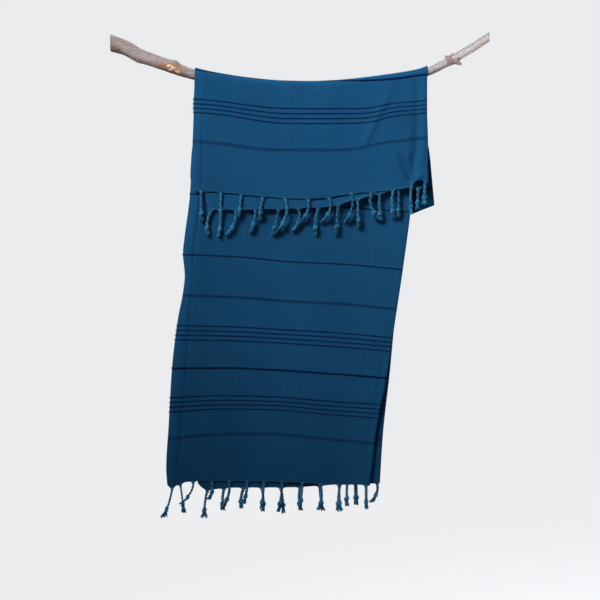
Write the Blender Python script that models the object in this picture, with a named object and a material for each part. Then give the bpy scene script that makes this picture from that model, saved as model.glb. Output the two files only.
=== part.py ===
"""Hammam towel hanging over a branch.

One woven cloth is folded in half lengthwise, with the fold at the right, and hung over a bare
branch in an S. It has a short flap in front, a loop behind the branch, and a long drop in front
that comes down under the flap. Each cut end has a fringe of knotted cords.

The cloth's two halves are called A and B. Half A faces the viewer on the flap, and half B faces
the viewer on the drop. Over the branch they lie, from the bark outward, as A, B, B, A.

X runs along the branch, -Y faces the viewer and +Z is up. The origin is on the branch's axis at
mid-span. Tables are in millimetres, and all other lengths are in metres.
"""

import math

import bmesh
import bpy
from mathutils import Vector

MM = 0.001

# Cloth
SHEET = 1.1 * MM  # thickness of one layer
BARK_GAP = 0.55 * MM  # clearance between the bark and the innermost layer
PITCH = 1.5 * MM  # from one layer to the next where four lie over the branch
CREST_STEP = 22.5  # degrees between rows over the branch
ACROSS = (0, 0.035, 0.12, 0.24, 0.36, 0.48, 0.6, 0.7, 0.78, 0.84, 0.89, 0.93, 0.965, 1)

# Flap
FLAP_ROWS = (0.1, 0.24, 0.4, 0.57, 0.74, 0.9, 1)
FLAP_FOOT = -215 * MM  # nominal level of its hem
FLAP_STAND = 8 * MM  # how far its hem stands off the drop
FLAP_OPEN = 6 * MM  # how far its two halves part at the hem
FLAP_LENGTH = 250 * MM  # nominal, from the branch's axis
CREASES_FORMED = 120 * MM  # its creases reach their full height this far below the branch

# Loop behind the branch
REAR_ROWS = (0.12, 0.32, 0.55, 0.78, 1)
REAR_FOOT = -262 * MM
LOOP_DEPTH = 17 * MM  # the loop's centre lies this far behind the branch's axis
LOOP_INNER = 2.2 * MM  # radius of half B round the loop
LOOP_OUTER = 5.4 * MM  # radius of half A round the loop
LOOP_STEP = 36  # degrees between rows round the loop

# Drop
DROP_ROWS = (0.03, 0.065, 0.105, 0.15, 0.21, 0.28, 0.36, 0.44, 0.52, 0.6, 0.68, 0.76, 0.84, 0.92, 1)
DROP_FOOT = -832 * MM
DROP_OPEN_LEFT = 3 * MM  # how far its halves part at the selvages
DROP_OPEN_RIGHT = 12 * MM  # and at the tucked side
TUCK = 61 * MM  # depth of the tuck at the hem
TUCK_START = 0.03  # the tuck forms between these shares of the drop
TUCK_FORMED = 0.15
TURN_STEPS = 3  # facets round each turn of the tuck

TOP_LEVEL = 30 * MM  # where the side edges leave the branch

# Fringe
STRIP_GAP = 0.6 * MM  # between the cloth's cut end and the strip of cord roots
STRIP = 4.4 * MM  # length of that strip down the cords
CORD = 2.6 * MM  # half width of a cord
KNOT = 4.7 * MM  # half width of its knot
ROOT_SINK = 2.4 * MM  # the cords start this far down in the strip

# Branch
BRANCH_SIDES = 14
BRANCH_STEP = 17 * MM  # spacing of its rings

# x, y, z of the axis, and radius
BRANCH = (
    (-399, 6, 93, 17.2),
    (-363, 4, 78.5, 14.0),
    (-340, 3, 66.5, 14.0),
    (-300, 1, 52.5, 12.9),
    (-267, 0, 41, 12.6),
    (-252, 0, 36.5, 11.8),
    (-227, 0, 28.6, 11.0),
    (-191, 0, 20, 10.8),
    (-107, 0, 6.9, 10.5),
    (-36, 0, 1, 10.2),
    (19, 0, 0, 10.0),
    (73, 0, 2.1, 9.8),
    (128, 0, 7.6, 9.5),
    (183, 0, 14.9, 9.2),
    (218, 0, 20.4, 8.9),
    (254, 0, 28, 8.5),
    (308, 1, 51.5, 8.2),
    (361, 3, 79.6, 9.2),
    (399, 5, 108, 8.6),
)

# x, half length along the branch, direction in degrees from the viewer up over the top, height
BUMPS = (
    (-263, 9, 90, 4.0),
    (-262, 16, -20, 1.0),
    (-341, 10, -60, 1.6),
    (319, 9, 80, 2.6),
    (322, 12, 0, 1.8),
    (326, 9, -75, 2.2),
)

# Snapped-off twigs: x, y, z and radius of the root, then of the tip
SPURS = (
    (321, -2, 60, 3.6, 303, -4, 67, 1.2),
    (324, -2, 57, 4.4, 341, -5, 48, 2.3),
)

# Side edges: z, x
FLAP_LEFT_A = ((40, -221), (0, -222), (-38, -224), (-84, -222), (-149, -228), (-196, -230), (-215, -224))
FLAP_LEFT_B = ((40, -220), (-100, -211), (-196, -200), (-215, -193))
FLAP_RIGHT = ((40, 268), (-48, 265), (-132, 267), (-215, 267))
REAR_LEFT = ((40, -220), (-262, -204))
REAR_RIGHT = ((40, 268), (-111, 268), (-147, 273), (-191, 277), (-262, 283))
DROP_LEFT_A = ((40, -220), (-832, -215))
DROP_LEFT_B = (
    (40, -220),
    (-222, -231),
    (-321, -243),
    (-351, -246),
    (-399, -242),
    (-435, -246),
    (-491, -257),
    (-590, -269),
    (-710, -276),
    (-800, -281),
    (-832, -279),
)
DROP_RIGHT = ((40, 266), (-265, 231), (-382, 215), (-496, 198.5), (-593, 189), (-729, 175), (-832, 169.5))
DROP_FACING = ((40, 266), (-265, 231), (-382, 215), (-496, 198), (-593, 184), (-704, 162), (-832, 145.5))

# Hems and the foot of the loop: x, z
FLAP_HEM_A = (
    (-230, -207),
    (-217, -218),
    (-166, -221),
    (-77, -230),
    (17, -235),
    (107, -225),
    (195, -216),
    (233, -209),
    (247, -199),
    (267, -203),
)
FLAP_HEM_B = (
    (-206, -236),
    (-194, -254),
    (-180, -258),
    (-46, -256),
    (60, -252),
    (95, -243),
    (150, -229),
    (233, -214),
    (249, -217),
    (267, -208),
)
LOOP_FOOT = ((-204, -275), (-84, -279), (63, -277), (168, -273), (235, -265), (262, -255), (283, -247))
DROP_HEM_A = (
    (-217, -829),
    (-205, -842),
    (-193, -846),
    (-150, -842),
    (-31, -841),
    (73, -836),
    (169, -829),
)
DROP_HEM_B = (
    (-281, -833),
    (-272, -840),
    (-243, -830),
    (-214, -827),
    (-74, -828),
    (5, -830),
    (60, -834),
    (145, -836),
)

# Creases of the flap's half A: x and z of the upper end and of the lower end, half width, height
CREASES = (
    (202, 0, 146, -112, 12, 1.6),
    (246, -45, 246, -135, 9, -2.0),
    (258, 0, 258, -180, 8, 1.2),
    (206, -135, 228, -200, 10, -2.4),
    (180, -140, 190, -205, 16, 1.4),
)

# Long waves of the drop: x under the branch, x at the hem, half width, height at the hem
WAVES = (
    (-205, -255, 34, 2.5),
    (-70, -120, 70, -3.0),
    (60, 5, 62, 3.5),
    (170, 95, 40, -2.5),
)

# Cords: x of the root, sideways shift at mid length, sideways shift at the tip, length, forward lean
FLAP_CORDS_A = (
    (-207, 0, 1, 61, 6),
    (-165, -1, -1, 51, 6),
    (-123, -2, -5, 46, 6),
    (-77, -5, -6, 48, 6),
    (-31, 2, -21, 71, 8),
    (18, -2, -18, 48, 7),
    (61, 2, -15, 50, 7),
    (108, 1, -12, 57, 7),
    (151, -2, 17, 57, 7),
    (195, -2, 2, 58, 6),
    (233, -1, 0, 56, 6),
    (262, -1, -1, 48, 5),
)
FLAP_CORDS_B = (
    (-186, -8, -7, 51, 1),
    (-166, -1, -5, 55, -1),
    (-134, -3, -19, 50, 0),
    (-93, -3, -12, 46, 0),
    (-45, -5, -12, 53, 0),
    (-3, 2, -12, 44, 0),
    (38, -5, -5, 55, 0),
    (80, -2, -3, 61, 0),
    (121, 1, 2, 56, 0),
    (167, 0, 5, 53, 0),
    (207, 0, 0, 55, 0),
    (248, -1, -2, 43, 0),
)
DROP_CORDS_A = (
    (-195, -5, -6, 57, -4),
    (-160, -3, -2, 45, -4),
    (-119, -5, -4, 42, -4),
    (-80, 3, 2, 49, -4),
    (-40, 4, 5, 52, -4),
    (0, -2, 2, 47, -4),
    (42, 2, 6, 51, -4),
    (84, -4, -7, 53, -4),
    (118, 1, 1, 44, -2),
    (162, 0, -12, 42, -2),
)
DROP_CORDS_B = (
    (-268, -7, -19, 62, 2),
    (-251, 4, 7, 58, 1),
    (-224, -6, -26, 45, 12),
    (-185, 1, -8, 37, 3),
    (-149, -1, -13, 53, 3),
    (-110, -3, -8, 46, 3),
    (-75, -3, -5, 57, 3),
    (-37, -3, -9, 61, 3),
    (5, -2, -5, 51, 3),
    (43, 2, -3, 53, 3),
    (82, -3, -5, 54, 3),
    (139, 0, 0, 48, 3),
)
# Cords in the tuck: share of the way from half A to half B, sideways shifts, length, forward lean
TUCK_CORDS = (
    (0.3, 3, 4, 47, 0),
    (0.72, -1, -2, 45, 0),
)

# Profile of a cord: share of its length, half width as a share of the cord's, of the knot's
CORD_PROFILE = ((0, 0.9, 0), (0.32, 1, 0), (0.64, 0.95, 0), (0.73, 0, 1), (0.85, 0, 0.85), (1, 0.95, 0))


def mix(a, b, share):
    return a + (b - a) * share


def ease(share):
    """0 to 1 with level ends."""
    share = min(max(share, 0.0), 1.0)
    return share * share * (3 - 2 * share)


def curve(table):
    """Smooth function through a table of (position, value) in millimetres, level past its ends."""
    rows = sorted((place * MM, value * MM) for place, value in table)
    steps = [(q[1] - p[1]) / (q[0] - p[0]) for p, q in zip(rows, rows[1:])]
    slopes = [0.0]
    for before, after in zip(steps, steps[1:]):
        turns_back = before * after <= 0
        slopes.append(0.0 if turns_back else 2 * before * after / (before + after))
    slopes[0] = steps[0]
    slopes.append(steps[-1])

    def value(place):
        if place <= rows[0][0]:
            return rows[0][1]
        if place >= rows[-1][0]:
            return rows[-1][1]
        k = next(i for i, row in enumerate(rows) if row[0] > place) - 1
        (x0, y0), (x1, y1) = rows[k], rows[k + 1]
        width = x1 - x0
        t = (place - x0) / width
        bend0, bend1 = slopes[k] * width, slopes[k + 1] * width
        return (
            y0 * (1 + 2 * t) * (1 - t) ** 2
            + bend0 * t * (1 - t) ** 2
            + y1 * t * t * (3 - 2 * t)
            - bend1 * t * t * (1 - t)
        )

    return value


branch_y = curve([(x, y) for x, y, z, r in BRANCH])
branch_z = curve([(x, z) for x, y, z, r in BRANCH])
branch_r = curve([(x, r) for x, y, z, r in BRANCH])


def branch_lean(x):
    """How much taller than wide the branch's upright section is, because the branch slopes."""
    step = 5 * MM
    slope = (branch_z(x + step) - branch_z(x - step)) / (2 * step)
    return math.hypot(1, slope)


A, B = "A", "B"
EDGES = {
    "flap": ({A: curve(FLAP_LEFT_A), B: curve(FLAP_LEFT_B)}, {A: curve(FLAP_RIGHT), B: curve(FLAP_RIGHT)}),
    "rear": ({A: curve(REAR_LEFT), B: curve(REAR_LEFT)}, {A: curve(REAR_RIGHT), B: curve(REAR_RIGHT)}),
    "drop": ({A: curve(DROP_LEFT_A), B: curve(DROP_LEFT_B)}, {A: curve(DROP_RIGHT), B: curve(DROP_FACING)}),
}
HEMS = {
    "flap": {A: curve(FLAP_HEM_A), B: curve(FLAP_HEM_B)},
    "drop": {A: curve(DROP_HEM_A), B: curve(DROP_HEM_B)},
}
FEET = {"flap": FLAP_FOOT, "rear": REAR_FOOT, "drop": DROP_FOOT}
loop_foot = curve(LOOP_FOOT)

# Each pass over the branch, with the distance of its halves from the bark
FIRST_LAYER = BARK_GAP + SHEET / 2
PASSES = {
    "outer": {A: FIRST_LAYER + 3 * PITCH, B: FIRST_LAYER + 2 * PITCH},
    "inner": {A: FIRST_LAYER, B: FIRST_LAYER + PITCH},
}


def bark(x, offset):
    """Distance from the axis to a layer that lies this far off the bark."""
    return branch_r(x) + offset


def waves(x, z):
    """How far the drop's long waves bring it forward."""
    below = ease((TOP_LEVEL - z) / (TOP_LEVEL - DROP_FOOT))
    total = 0.0
    for x_top, x_foot, half_width, height in WAVES:
        middle = mix(x_top, x_foot, below) * MM
        total += height * MM * below * math.exp(-(((x - middle) / (half_width * MM)) ** 2))
    return total


def creases(x, z):
    """How far the flap's creases bring half A forward."""
    total = 0.0
    for x0, z0, x1, z1, half_width, height in CREASES:
        along = Vector((x1 - x0, z1 - z0)) * MM
        offset = Vector((x - x0 * MM, z - z0 * MM))
        share = offset.dot(along) / along.length_squared
        aside = (offset - along * min(max(share, 0.0), 1.0)).length
        total += height * MM * math.exp(-((aside / (half_width * MM)) ** 2))
    return total


def drop_parting(depth, share):
    """Distance between the drop's halves at a depth below the branch."""
    foot = mix(DROP_OPEN_LEFT, DROP_OPEN_RIGHT, ease(share))
    return mix(PITCH, foot, ease(depth / (90 * MM)) * mix(0.55, 1, min(depth / -DROP_FOOT, 1)))


def flap_parting(depth):
    return mix(PITCH, FLAP_OPEN, min(depth / FLAP_LENGTH, 1))


def rear_parting(share):
    return mix(PITCH, LOOP_OUTER - LOOP_INNER, ease(share))


def fold_room(part, share):
    """How far short of the right edge the halves end, to leave room for the fold's turn."""
    if part == "flap":
        return flap_parting(share * FLAP_LENGTH) / 2
    if part == "rear":
        return rear_parting(share) / 2
    parting = drop_parting(share * -DROP_FOOT, 1)
    return mix(parting / 2, parting / 6, tuck_formed(share))


def tuck_formed(share):
    return ease((share - TUCK_START) / (TUCK_FORMED - TUCK_START))


def side_x(part, half, share, across):
    """X of a point by its share of the way down a hanging part and across it."""
    level = mix(TOP_LEVEL, FEET[part], share)
    left, right = EDGES[part]
    return mix(left[half](level), right[half](level) - fold_room(part, share), across)


def drop_y(half, x, z, across):
    front = branch_y(x) - bark(x, PASSES["inner"][B]) - waves(x, z)
    if half == B:
        return front
    return front + drop_parting(max(branch_z(x) - z, 0), across)


def hanging_point(part, half, share, across):
    """Point of the flap or of the drop."""
    x = side_x(part, half, share, across)
    z = mix(branch_z(x), HEMS[part][half](x), share)
    if part == "drop":
        return Vector((x, drop_y(half, x, z, across), z))
    depth = max(branch_z(x) - z, 0)
    stand = FLAP_STAND * min(depth / FLAP_LENGTH, 1) ** 0.8
    y = drop_y(B, x, z, across) - PITCH - stand
    if half == A:
        y -= flap_parting(depth) + creases(x, z) * ease(depth / CREASES_FORMED)
    return Vector((x, y, z))


def crest_point(lap, half, turn, across):
    """Point of a pass over the branch, `turn` degrees from the front over the top."""
    part = "flap" if lap == "outer" else "drop"
    front = side_x(part, half, 0, across)
    back = side_x("rear", half, 0, across)
    x = mix(front, back, turn / 180)
    reach = bark(x, PASSES[lap][half])
    angle = math.radians(turn)
    return Vector(
        (
            x,
            branch_y(x) - reach * math.cos(angle),
            branch_z(x) + reach * branch_lean(x) * math.sin(angle),
        )
    )


def rear_point(lap, half, share, across):
    """Point of the two runs behind the branch."""
    x = side_x("rear", half, share, across)
    radius = LOOP_OUTER if half == A else LOOP_INNER
    side = 1 if lap == "outer" else -1
    top_y = branch_y(x) + bark(x, PASSES[lap][half])
    foot_y = LOOP_DEPTH + side * radius
    centre_z = loop_foot(x) + LOOP_OUTER
    return Vector((x, mix(top_y, foot_y, ease(share)), mix(branch_z(x), centre_z, share)))


def loop_point(half, turn, across):
    """Point of the loop's foot, `turn` degrees from its outer side."""
    x = side_x("rear", half, 1, across)
    radius = LOOP_OUTER if half == A else LOOP_INNER
    angle = math.radians(turn)
    y = LOOP_DEPTH + radius * math.cos(angle)
    z = loop_foot(x) + LOOP_OUTER - radius * math.sin(angle)
    return Vector((x, y, z))


def turn_points(centre, start, bulge, steps):
    """Points strictly between the ends of a half turn from centre + start to centre - start."""
    return [
        centre + start * math.cos(math.pi * k / steps) + bulge * math.sin(math.pi * k / steps)
        for k in range(1, steps)
    ]


def plain_fold(end_a, end_b, count):
    """The lengthwise fold as one half turn."""
    start = (end_a - end_b) / 2
    bulge = Vector((start.length, 0, 0))
    return turn_points((end_a + end_b) / 2, start, bulge, count + 1)


def tucked_fold(end_a, end_b, depth):
    """The lengthwise fold pushed in between the halves, as three half turns and two legs."""
    third = (end_b - end_a) / 3
    radius = third.length / 2
    tuck_x = min(end_a.x, end_b.x) - depth
    turns = (
        (end_a.x, 0.5, radius),
        (tuck_x, 1.5, -radius),
        (end_b.x, 2.5, radius),
    )
    points = []
    for x, thirds, bulge in turns:
        centre = end_a + third * thirds
        centre.x = x
        start = Vector((0, third.y, third.z)) / -2
        points.append(centre + start)
        points += turn_points(centre, start, Vector((bulge, 0, 0)), TURN_STEPS)
        points.append(centre - start)
    return points[1:-1]


FOLD_POINTS = 3 * TURN_STEPS + 1


def row(place, share_down_drop=None):
    """One row of the cloth, from half A's selvage over the fold to half B's selvage."""
    half_a = [place(A, across) for across in ACROSS]
    half_b = [place(B, across) for across in reversed(ACROSS)]
    fold = plain_fold(half_a[-1], half_b[0], FOLD_POINTS)
    if share_down_drop is not None:
        tucked = tucked_fold(half_a[-1], half_b[0], TUCK * share_down_drop)
        formed = tuck_formed(share_down_drop)
        fold = [p.lerp(q, formed) for p, q in zip(fold, tucked)]
    return half_a + fold + half_b


def cloth_rows():
    """All rows, from the front end to the long end."""
    turns = [CREST_STEP * k for k in range(round(180 / CREST_STEP) + 1)]
    loops = [LOOP_STEP * k for k in range(1, round(180 / LOOP_STEP))]
    rows = [row(lambda h, a: hanging_point("flap", h, s, a)) for s in reversed(FLAP_ROWS)]
    rows += [row(lambda h, a: crest_point("outer", h, t, a)) for t in turns]
    rows += [row(lambda h, a: rear_point("outer", h, s, a)) for s in REAR_ROWS]
    rows += [row(lambda h, a: loop_point(h, t, a)) for t in loops]
    rows += [row(lambda h, a: rear_point("inner", h, s, a)) for s in reversed(REAR_ROWS)]
    rows += [row(lambda h, a: crest_point("inner", h, t, a)) for t in reversed(turns)]
    rows += [row(lambda h, a: hanging_point("drop", h, s, a), s) for s in DROP_ROWS]
    return rows


def bisector(before, here, after):
    """Unit direction of a line of points at one of them."""
    into = (here - before).normalized() if before else Vector()
    out = (after - here).normalized() if after else Vector()
    return (into + out).normalized()


def sheet(name, rows, thickness, material):
    """Closed solid of a sheet whose middle surface goes through rows of points."""
    last_i, last_j = len(rows) - 1, len(rows[0]) - 1
    bm = bmesh.new()
    faces = ([], [])
    for i, points in enumerate(rows):
        for side in faces:
            side.append([])
        for j, here in enumerate(points):
            down = bisector(
                rows[i - 1][j] if i else None, here, rows[i + 1][j] if i < last_i else None
            )
            along = bisector(
                points[j - 1] if j else None, here, points[j + 1] if j < last_j else None
            )
            out = down.cross(along).normalized() * thickness / 2
            faces[0][i].append(bm.verts.new(here + out))
            faces[1][i].append(bm.verts.new(here - out))
    for i in range(last_i):
        for j in range(last_j):
            corners = ((i, j), (i, j + 1), (i + 1, j + 1), (i + 1, j))
            for side in faces:
                bm.faces.new([side[p][q] for p, q in corners])
    rim = [(0, j) for j in range(last_j)] + [(i, last_j) for i in range(last_i)]
    rim += [(last_i, j) for j in range(last_j, 0, -1)] + [(i, 0) for i in range(last_i, 0, -1)]
    for (i, j), (k, m) in zip(rim, rim[1:] + rim[:1]):
        bm.faces.new((faces[0][i][j], faces[0][k][m], faces[1][k][m], faces[1][i][j]))
    return finish(name, bm, material, 50)


def finish(name, bm, material, sharp_degrees):
    """Makes the object, with its faces outward and its round parts shaded smooth."""
    bmesh.ops.recalc_face_normals(bm, faces=bm.faces)
    mesh = bpy.data.meshes.new(name)
    bm.to_mesh(mesh)
    bm.free()
    mesh.shade_smooth()
    mesh.set_sharp_from_angle(angle=math.radians(sharp_degrees))
    mesh.materials.append(material)
    obj = bpy.data.objects.new(name, mesh)
    bpy.context.scene.collection.objects.link(obj)
    return obj


def tube(bm, rings):
    """Adds a closed tube through rings of points."""
    loops = [[bm.verts.new(point) for point in ring] for ring in rings]
    sides = len(loops[0])
    for upper, lower in zip(loops, loops[1:]):
        for k in range(sides):
            m = (k + 1) % sides
            bm.faces.new((upper[k], upper[m], lower[m], lower[k]))
    bm.faces.new(reversed(loops[0]))
    bm.faces.new(loops[-1])


def cord(bm, root, mid_shift, tip_shift, length, lean):
    """Adds one four-sided cord with its knot, hanging from its root."""
    rings = []
    for share, cord_part, knot_part in CORD_PROFILE:
        half_width = CORD * cord_part + KNOT * knot_part
        swing = (mid_shift * 4 * share * (1 - share) + tip_shift * share * (2 * share - 1)) * MM
        forward = lean * MM * share * (2 - share)
        centre = root + Vector((swing, -forward, -length * MM * share))
        corners = ((1, 0), (0, 1), (-1, 0), (0, -1))
        rings.append([centre + Vector((x, y, 0)) * half_width for x, y in corners])
    tube(bm, rings)


def place_between(points, share):
    """Point by its share of the length of a line of points."""
    spans = [(q - p).length for p, q in zip(points, points[1:])]
    left = share * sum(spans)
    for p, q, span in zip(points, points[1:], spans):
        if left <= span:
            return p.lerp(q, left / span)
        left -= span
    return points[-1].copy()


def place_at_x(points, x):
    """Point of a line that runs along X, by its X."""
    for p, q in zip(points, points[1:]):
        if min(p.x, q.x) <= x <= max(p.x, q.x):
            return p.lerp(q, (x - p.x) / (q.x - p.x))
    return min(points, key=lambda point: abs(point.x - x)).copy()


def fringe(name, before, hem, cords, material):
    """Strip of cord roots just past a cut end, with its cords fused on. cords holds a table for
    half A, one for half B and one for the tuck."""
    down = [(q - p).normalized() for p, q in zip(before, hem)]
    levels = (STRIP_GAP, STRIP_GAP + STRIP / 2, STRIP_GAP + STRIP)
    rows = [[p + d * level for p, d in zip(hem, down)] for level in levels]
    strip = sheet(name, rows, SHEET, material)
    roots = [p + d * (STRIP_GAP + ROOT_SINK) for p, d in zip(hem, down)]
    count = len(ACROSS)
    bm = bmesh.new()
    for line, table in ((roots[:count], cords[0]), (roots[-count:], cords[1])):
        for x, *shape in table:
            cord(bm, place_at_x(line, x * MM), *shape)
    for share, *shape in cords[2]:
        cord(bm, place_between(roots[count - 1 : 1 - count], share), *shape)
    fuse(strip, finish(name + "_cords", bm, material, 30))
    return strip


def fuse(obj, helper):
    """Unites a helper's solids with an object."""
    helper.hide_render = True
    helper.display_type = "WIRE"
    union = obj.modifiers.new("fused", "BOOLEAN")
    union.operation = "UNION"
    union.solver = "EXACT"
    union.object = helper


def branch_ring(x):
    """Upright section of the branch, with its bumps."""
    ring = []
    for k in range(BRANCH_SIDES):
        angle = 2 * math.pi * k / BRANCH_SIDES
        radius = branch_r(x)
        for bump_x, half_length, direction, height in BUMPS:
            near = math.exp(-(((x - bump_x * MM) / (half_length * MM)) ** 2))
            facing = max(math.cos(angle - math.radians(direction)), 0) ** 2
            radius += height * MM * near * facing
        y = branch_y(x) - radius * math.cos(angle)
        z = branch_z(x) + radius * branch_lean(x) * math.sin(angle)
        ring.append(Vector((x, y, z)))
    return ring


def branch(material):
    first, last = BRANCH[0][0] * MM, BRANCH[-1][0] * MM
    count = round((last - first) / BRANCH_STEP)
    bm = bmesh.new()
    tube(bm, [branch_ring(mix(first, last, k / count)) for k in range(count + 1)])
    wood = finish("branch", bm, material, 40)
    bm = bmesh.new()
    for x0, y0, z0, r0, x1, y1, z1, r1 in SPURS:
        root, tip = Vector((x0, y0, z0)) * MM, Vector((x1, y1, z1)) * MM
        turn = Vector((0, 0, 1)).rotation_difference(tip - root)
        rings = []
        for centre, radius in ((root, r0 * MM), (tip, r1 * MM)):
            spokes = [2 * math.pi * k / 6 for k in range(6)]
            rings.append([centre + turn @ Vector((math.cos(s), math.sin(s), 0)) * radius for s in spokes])
        tube(bm, rings)
    fuse(wood, finish("branch_spurs", bm, material, 40))


def make_material(name, colour, roughness):
    material = bpy.data.materials.new(name)
    material.use_nodes = True
    shader = material.node_tree.nodes["Principled BSDF"]
    shader.inputs["Base Color"].default_value = (*colour, 1)
    shader.inputs["Roughness"].default_value = roughness
    shader.inputs["Metallic"].default_value = 0
    return material


def main():
    for obj in list(bpy.data.objects):
        bpy.data.objects.remove(obj)
    cotton = make_material("blue_cotton", (0.012, 0.078, 0.18), 0.9)
    twist = make_material("blue_cotton_cord", (0.03, 0.13, 0.22), 0.85)
    wood = make_material("bark", (0.33, 0.27, 0.23), 0.8)
    rows = cloth_rows()
    sheet("towel_cloth", rows, SHEET, cotton)
    fringe("fringe_front_end", rows[1], rows[0], (FLAP_CORDS_A, FLAP_CORDS_B, ()), twist)
    fringe("fringe_long_end", rows[-2], rows[-1], (DROP_CORDS_A, DROP_CORDS_B, TUCK_CORDS), twist)
    branch(wood)


main()
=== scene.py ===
"""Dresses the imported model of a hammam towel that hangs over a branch.

Four operators make the woven cloth, the knotted fringes, the branch and the stage, and a panel in
the sidebar lists them. Sizes and colours are properties of the scene.

The cloth is folded in half lengthwise, with the fold at the right. Half A faces the viewer on the
flap, and half B faces the viewer on the drop. Tables are in millimetres, and all other lengths
are in metres.
"""

import math
import random
from functools import partial, reduce

import bpy
import numpy as np
from bpy.props import FloatProperty, FloatVectorProperty, PointerProperty
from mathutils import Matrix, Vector, noise


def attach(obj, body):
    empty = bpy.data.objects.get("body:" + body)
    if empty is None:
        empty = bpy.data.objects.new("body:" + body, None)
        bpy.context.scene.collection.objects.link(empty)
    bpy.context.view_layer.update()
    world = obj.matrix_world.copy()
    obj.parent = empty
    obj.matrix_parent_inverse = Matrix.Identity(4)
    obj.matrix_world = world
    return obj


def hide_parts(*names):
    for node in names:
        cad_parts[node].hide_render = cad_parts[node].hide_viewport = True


bl_info = {
    "name": "Hammam towel on a branch",
    "version": (1, 0, 0),
    "blender": (4, 5, 0),
    "location": "3D View > Sidebar > Towel",
    "description": "Weaves, hangs and fringes a towel over a branch",
    "category": "Object",
}

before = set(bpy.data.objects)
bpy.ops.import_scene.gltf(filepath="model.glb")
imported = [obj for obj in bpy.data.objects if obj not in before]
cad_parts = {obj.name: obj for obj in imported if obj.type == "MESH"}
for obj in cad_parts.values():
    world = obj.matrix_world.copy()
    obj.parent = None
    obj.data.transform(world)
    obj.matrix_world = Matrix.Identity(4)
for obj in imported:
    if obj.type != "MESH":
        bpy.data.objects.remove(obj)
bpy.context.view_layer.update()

MM = 0.001
A, B = "A", "B"

# ---- sizes of the hanging cloth

SHEET = 0.7 * MM  # thickness of a layer
PITCH = 1.05 * MM  # from one layer to the next, where they lie closest
BARK_GAP = 0.45 * MM
FLAP_FOOT = -215 * MM
FLAP_STAND = 8 * MM
FLAP_OPEN = 3 * MM
FLAP_CURL = 2 * MM
FLAP_LIFT = 4 * MM
FLAP_LIFT_PLACE = 118 * MM
FLAP_LENGTH = 250 * MM
CREASES_FORMED = 70 * MM
BEND_FORMED = 40 * MM
HEM_REACH = 9 * MM
# Uneven hang: seed, size of its waves, height, depth below the branch at which it is formed
HANG = {"flap": (9, 0.15, 0.9 * MM, 0.12), "drop": (4, 0.17, 1.3 * MM, 0.3)}
# Bend of the selvage that faces the viewer: width, height
SELVAGE_BEND = {"flap": (17 * MM, 3.2 * MM), "drop": (20 * MM, 4.6 * MM)}
# The mouth in the flap's hem, where half B falls back
MOUTH_X, MOUTH_Z, MOUTH_DEPTH = 250 * MM, -205 * MM, 9 * MM
# The stretch of the branch under the cloth
COVERED_MIDDLE, COVERED_HALF = 24 * MM, 245 * MM
REAR_FOOT = -262 * MM
LOOP_DEPTH = 17 * MM
LOOP_INNER = 2.2 * MM
LOOP_OUTER = 5.4 * MM
DROP_FOOT = -832 * MM
DROP_OPEN_LEFT = 3 * MM
DROP_OPEN_RIGHT = 17 * MM
TUCK = 61 * MM
TUCK_START = 0.03
TUCK_FORMED = 0.15
TOP_LEVEL = 30 * MM

# ---- tables

# x, y, z of the branch's axis, and radius
BRANCH = (
    (-399, 6, 95, 17.2), (-363, 4, 82, 15.4), (-340, 3, 69, 14.3), (-300, 1, 54.5, 13.4),
    (-267, 0, 42.5, 12.9), (-252, 0, 36.5, 11.8), (-227, 0, 28.6, 11.0), (-191, 0, 20, 10.8),
    (-107, 0, 6.9, 10.5), (-36, 0, 1, 10.2), (19, 0, 0, 10.0), (73, 0, 2.1, 9.8),
    (128, 0, 7.6, 9.5), (183, 0, 14.9, 9.2), (218, 0, 20.4, 8.9), (254, 0, 28, 8.5),
    (308, 1, 52.5, 9.0), (342, 2, 72, 8.9), (364, 3, 85.0, 9.2), (399, 5, 108, 8.6),
)

# x, half length along the branch, direction in degrees from the viewer up over the top, height
BUMPS = (
    (-263, 9, 90, 4.0), (-262, 16, -20, 1.0), (-341, 10, -60, 1.6), (319, 9, 80, 2.6),
    (322, 12, 0, 1.8), (326, 9, -75, 2.2),
)

# Snapped-off twigs: x, y, z and radius of the root, then of the tip
SPURS = ((321, -2, 60, 3.6, 303, -4, 67, 1.2), (324, -2, 57, 4.4, 341, -5, 48, 2.3))

# Side edges: z, x
FLAP_LEFT_A = (
    (40, -221), (0, -222), (-38, -224), (-84, -222), (-149, -228), (-196, -230), (-215, -224),
)
FLAP_LEFT_B = ((40, -220), (-100, -211), (-196, -200), (-215, -193))
FLAP_RIGHT = ((40, 268), (-48, 265), (-132, 267), (-215, 267))
REAR_LEFT = ((40, -220), (-262, -204))
REAR_RIGHT = ((40, 268), (-111, 268), (-147, 273), (-191, 277), (-262, 283))
DROP_LEFT_A = ((40, -220), (-832, -215))
DROP_LEFT_B = (
    (40, -220), (-222, -231), (-321, -243), (-351, -246), (-399, -242), (-435, -246), (-491, -257),
    (-590, -269), (-710, -276), (-800, -281), (-832, -279),
)
DROP_RIGHT = (
    (40, 266), (-265, 231), (-382, 215), (-496, 198.5), (-593, 189), (-729, 173.5), (-832, 166.5),
)
DROP_FACING = (
    (40, 266), (-265, 231), (-382, 215), (-496, 198), (-593, 184), (-704, 162), (-832, 145.5),
)

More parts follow.
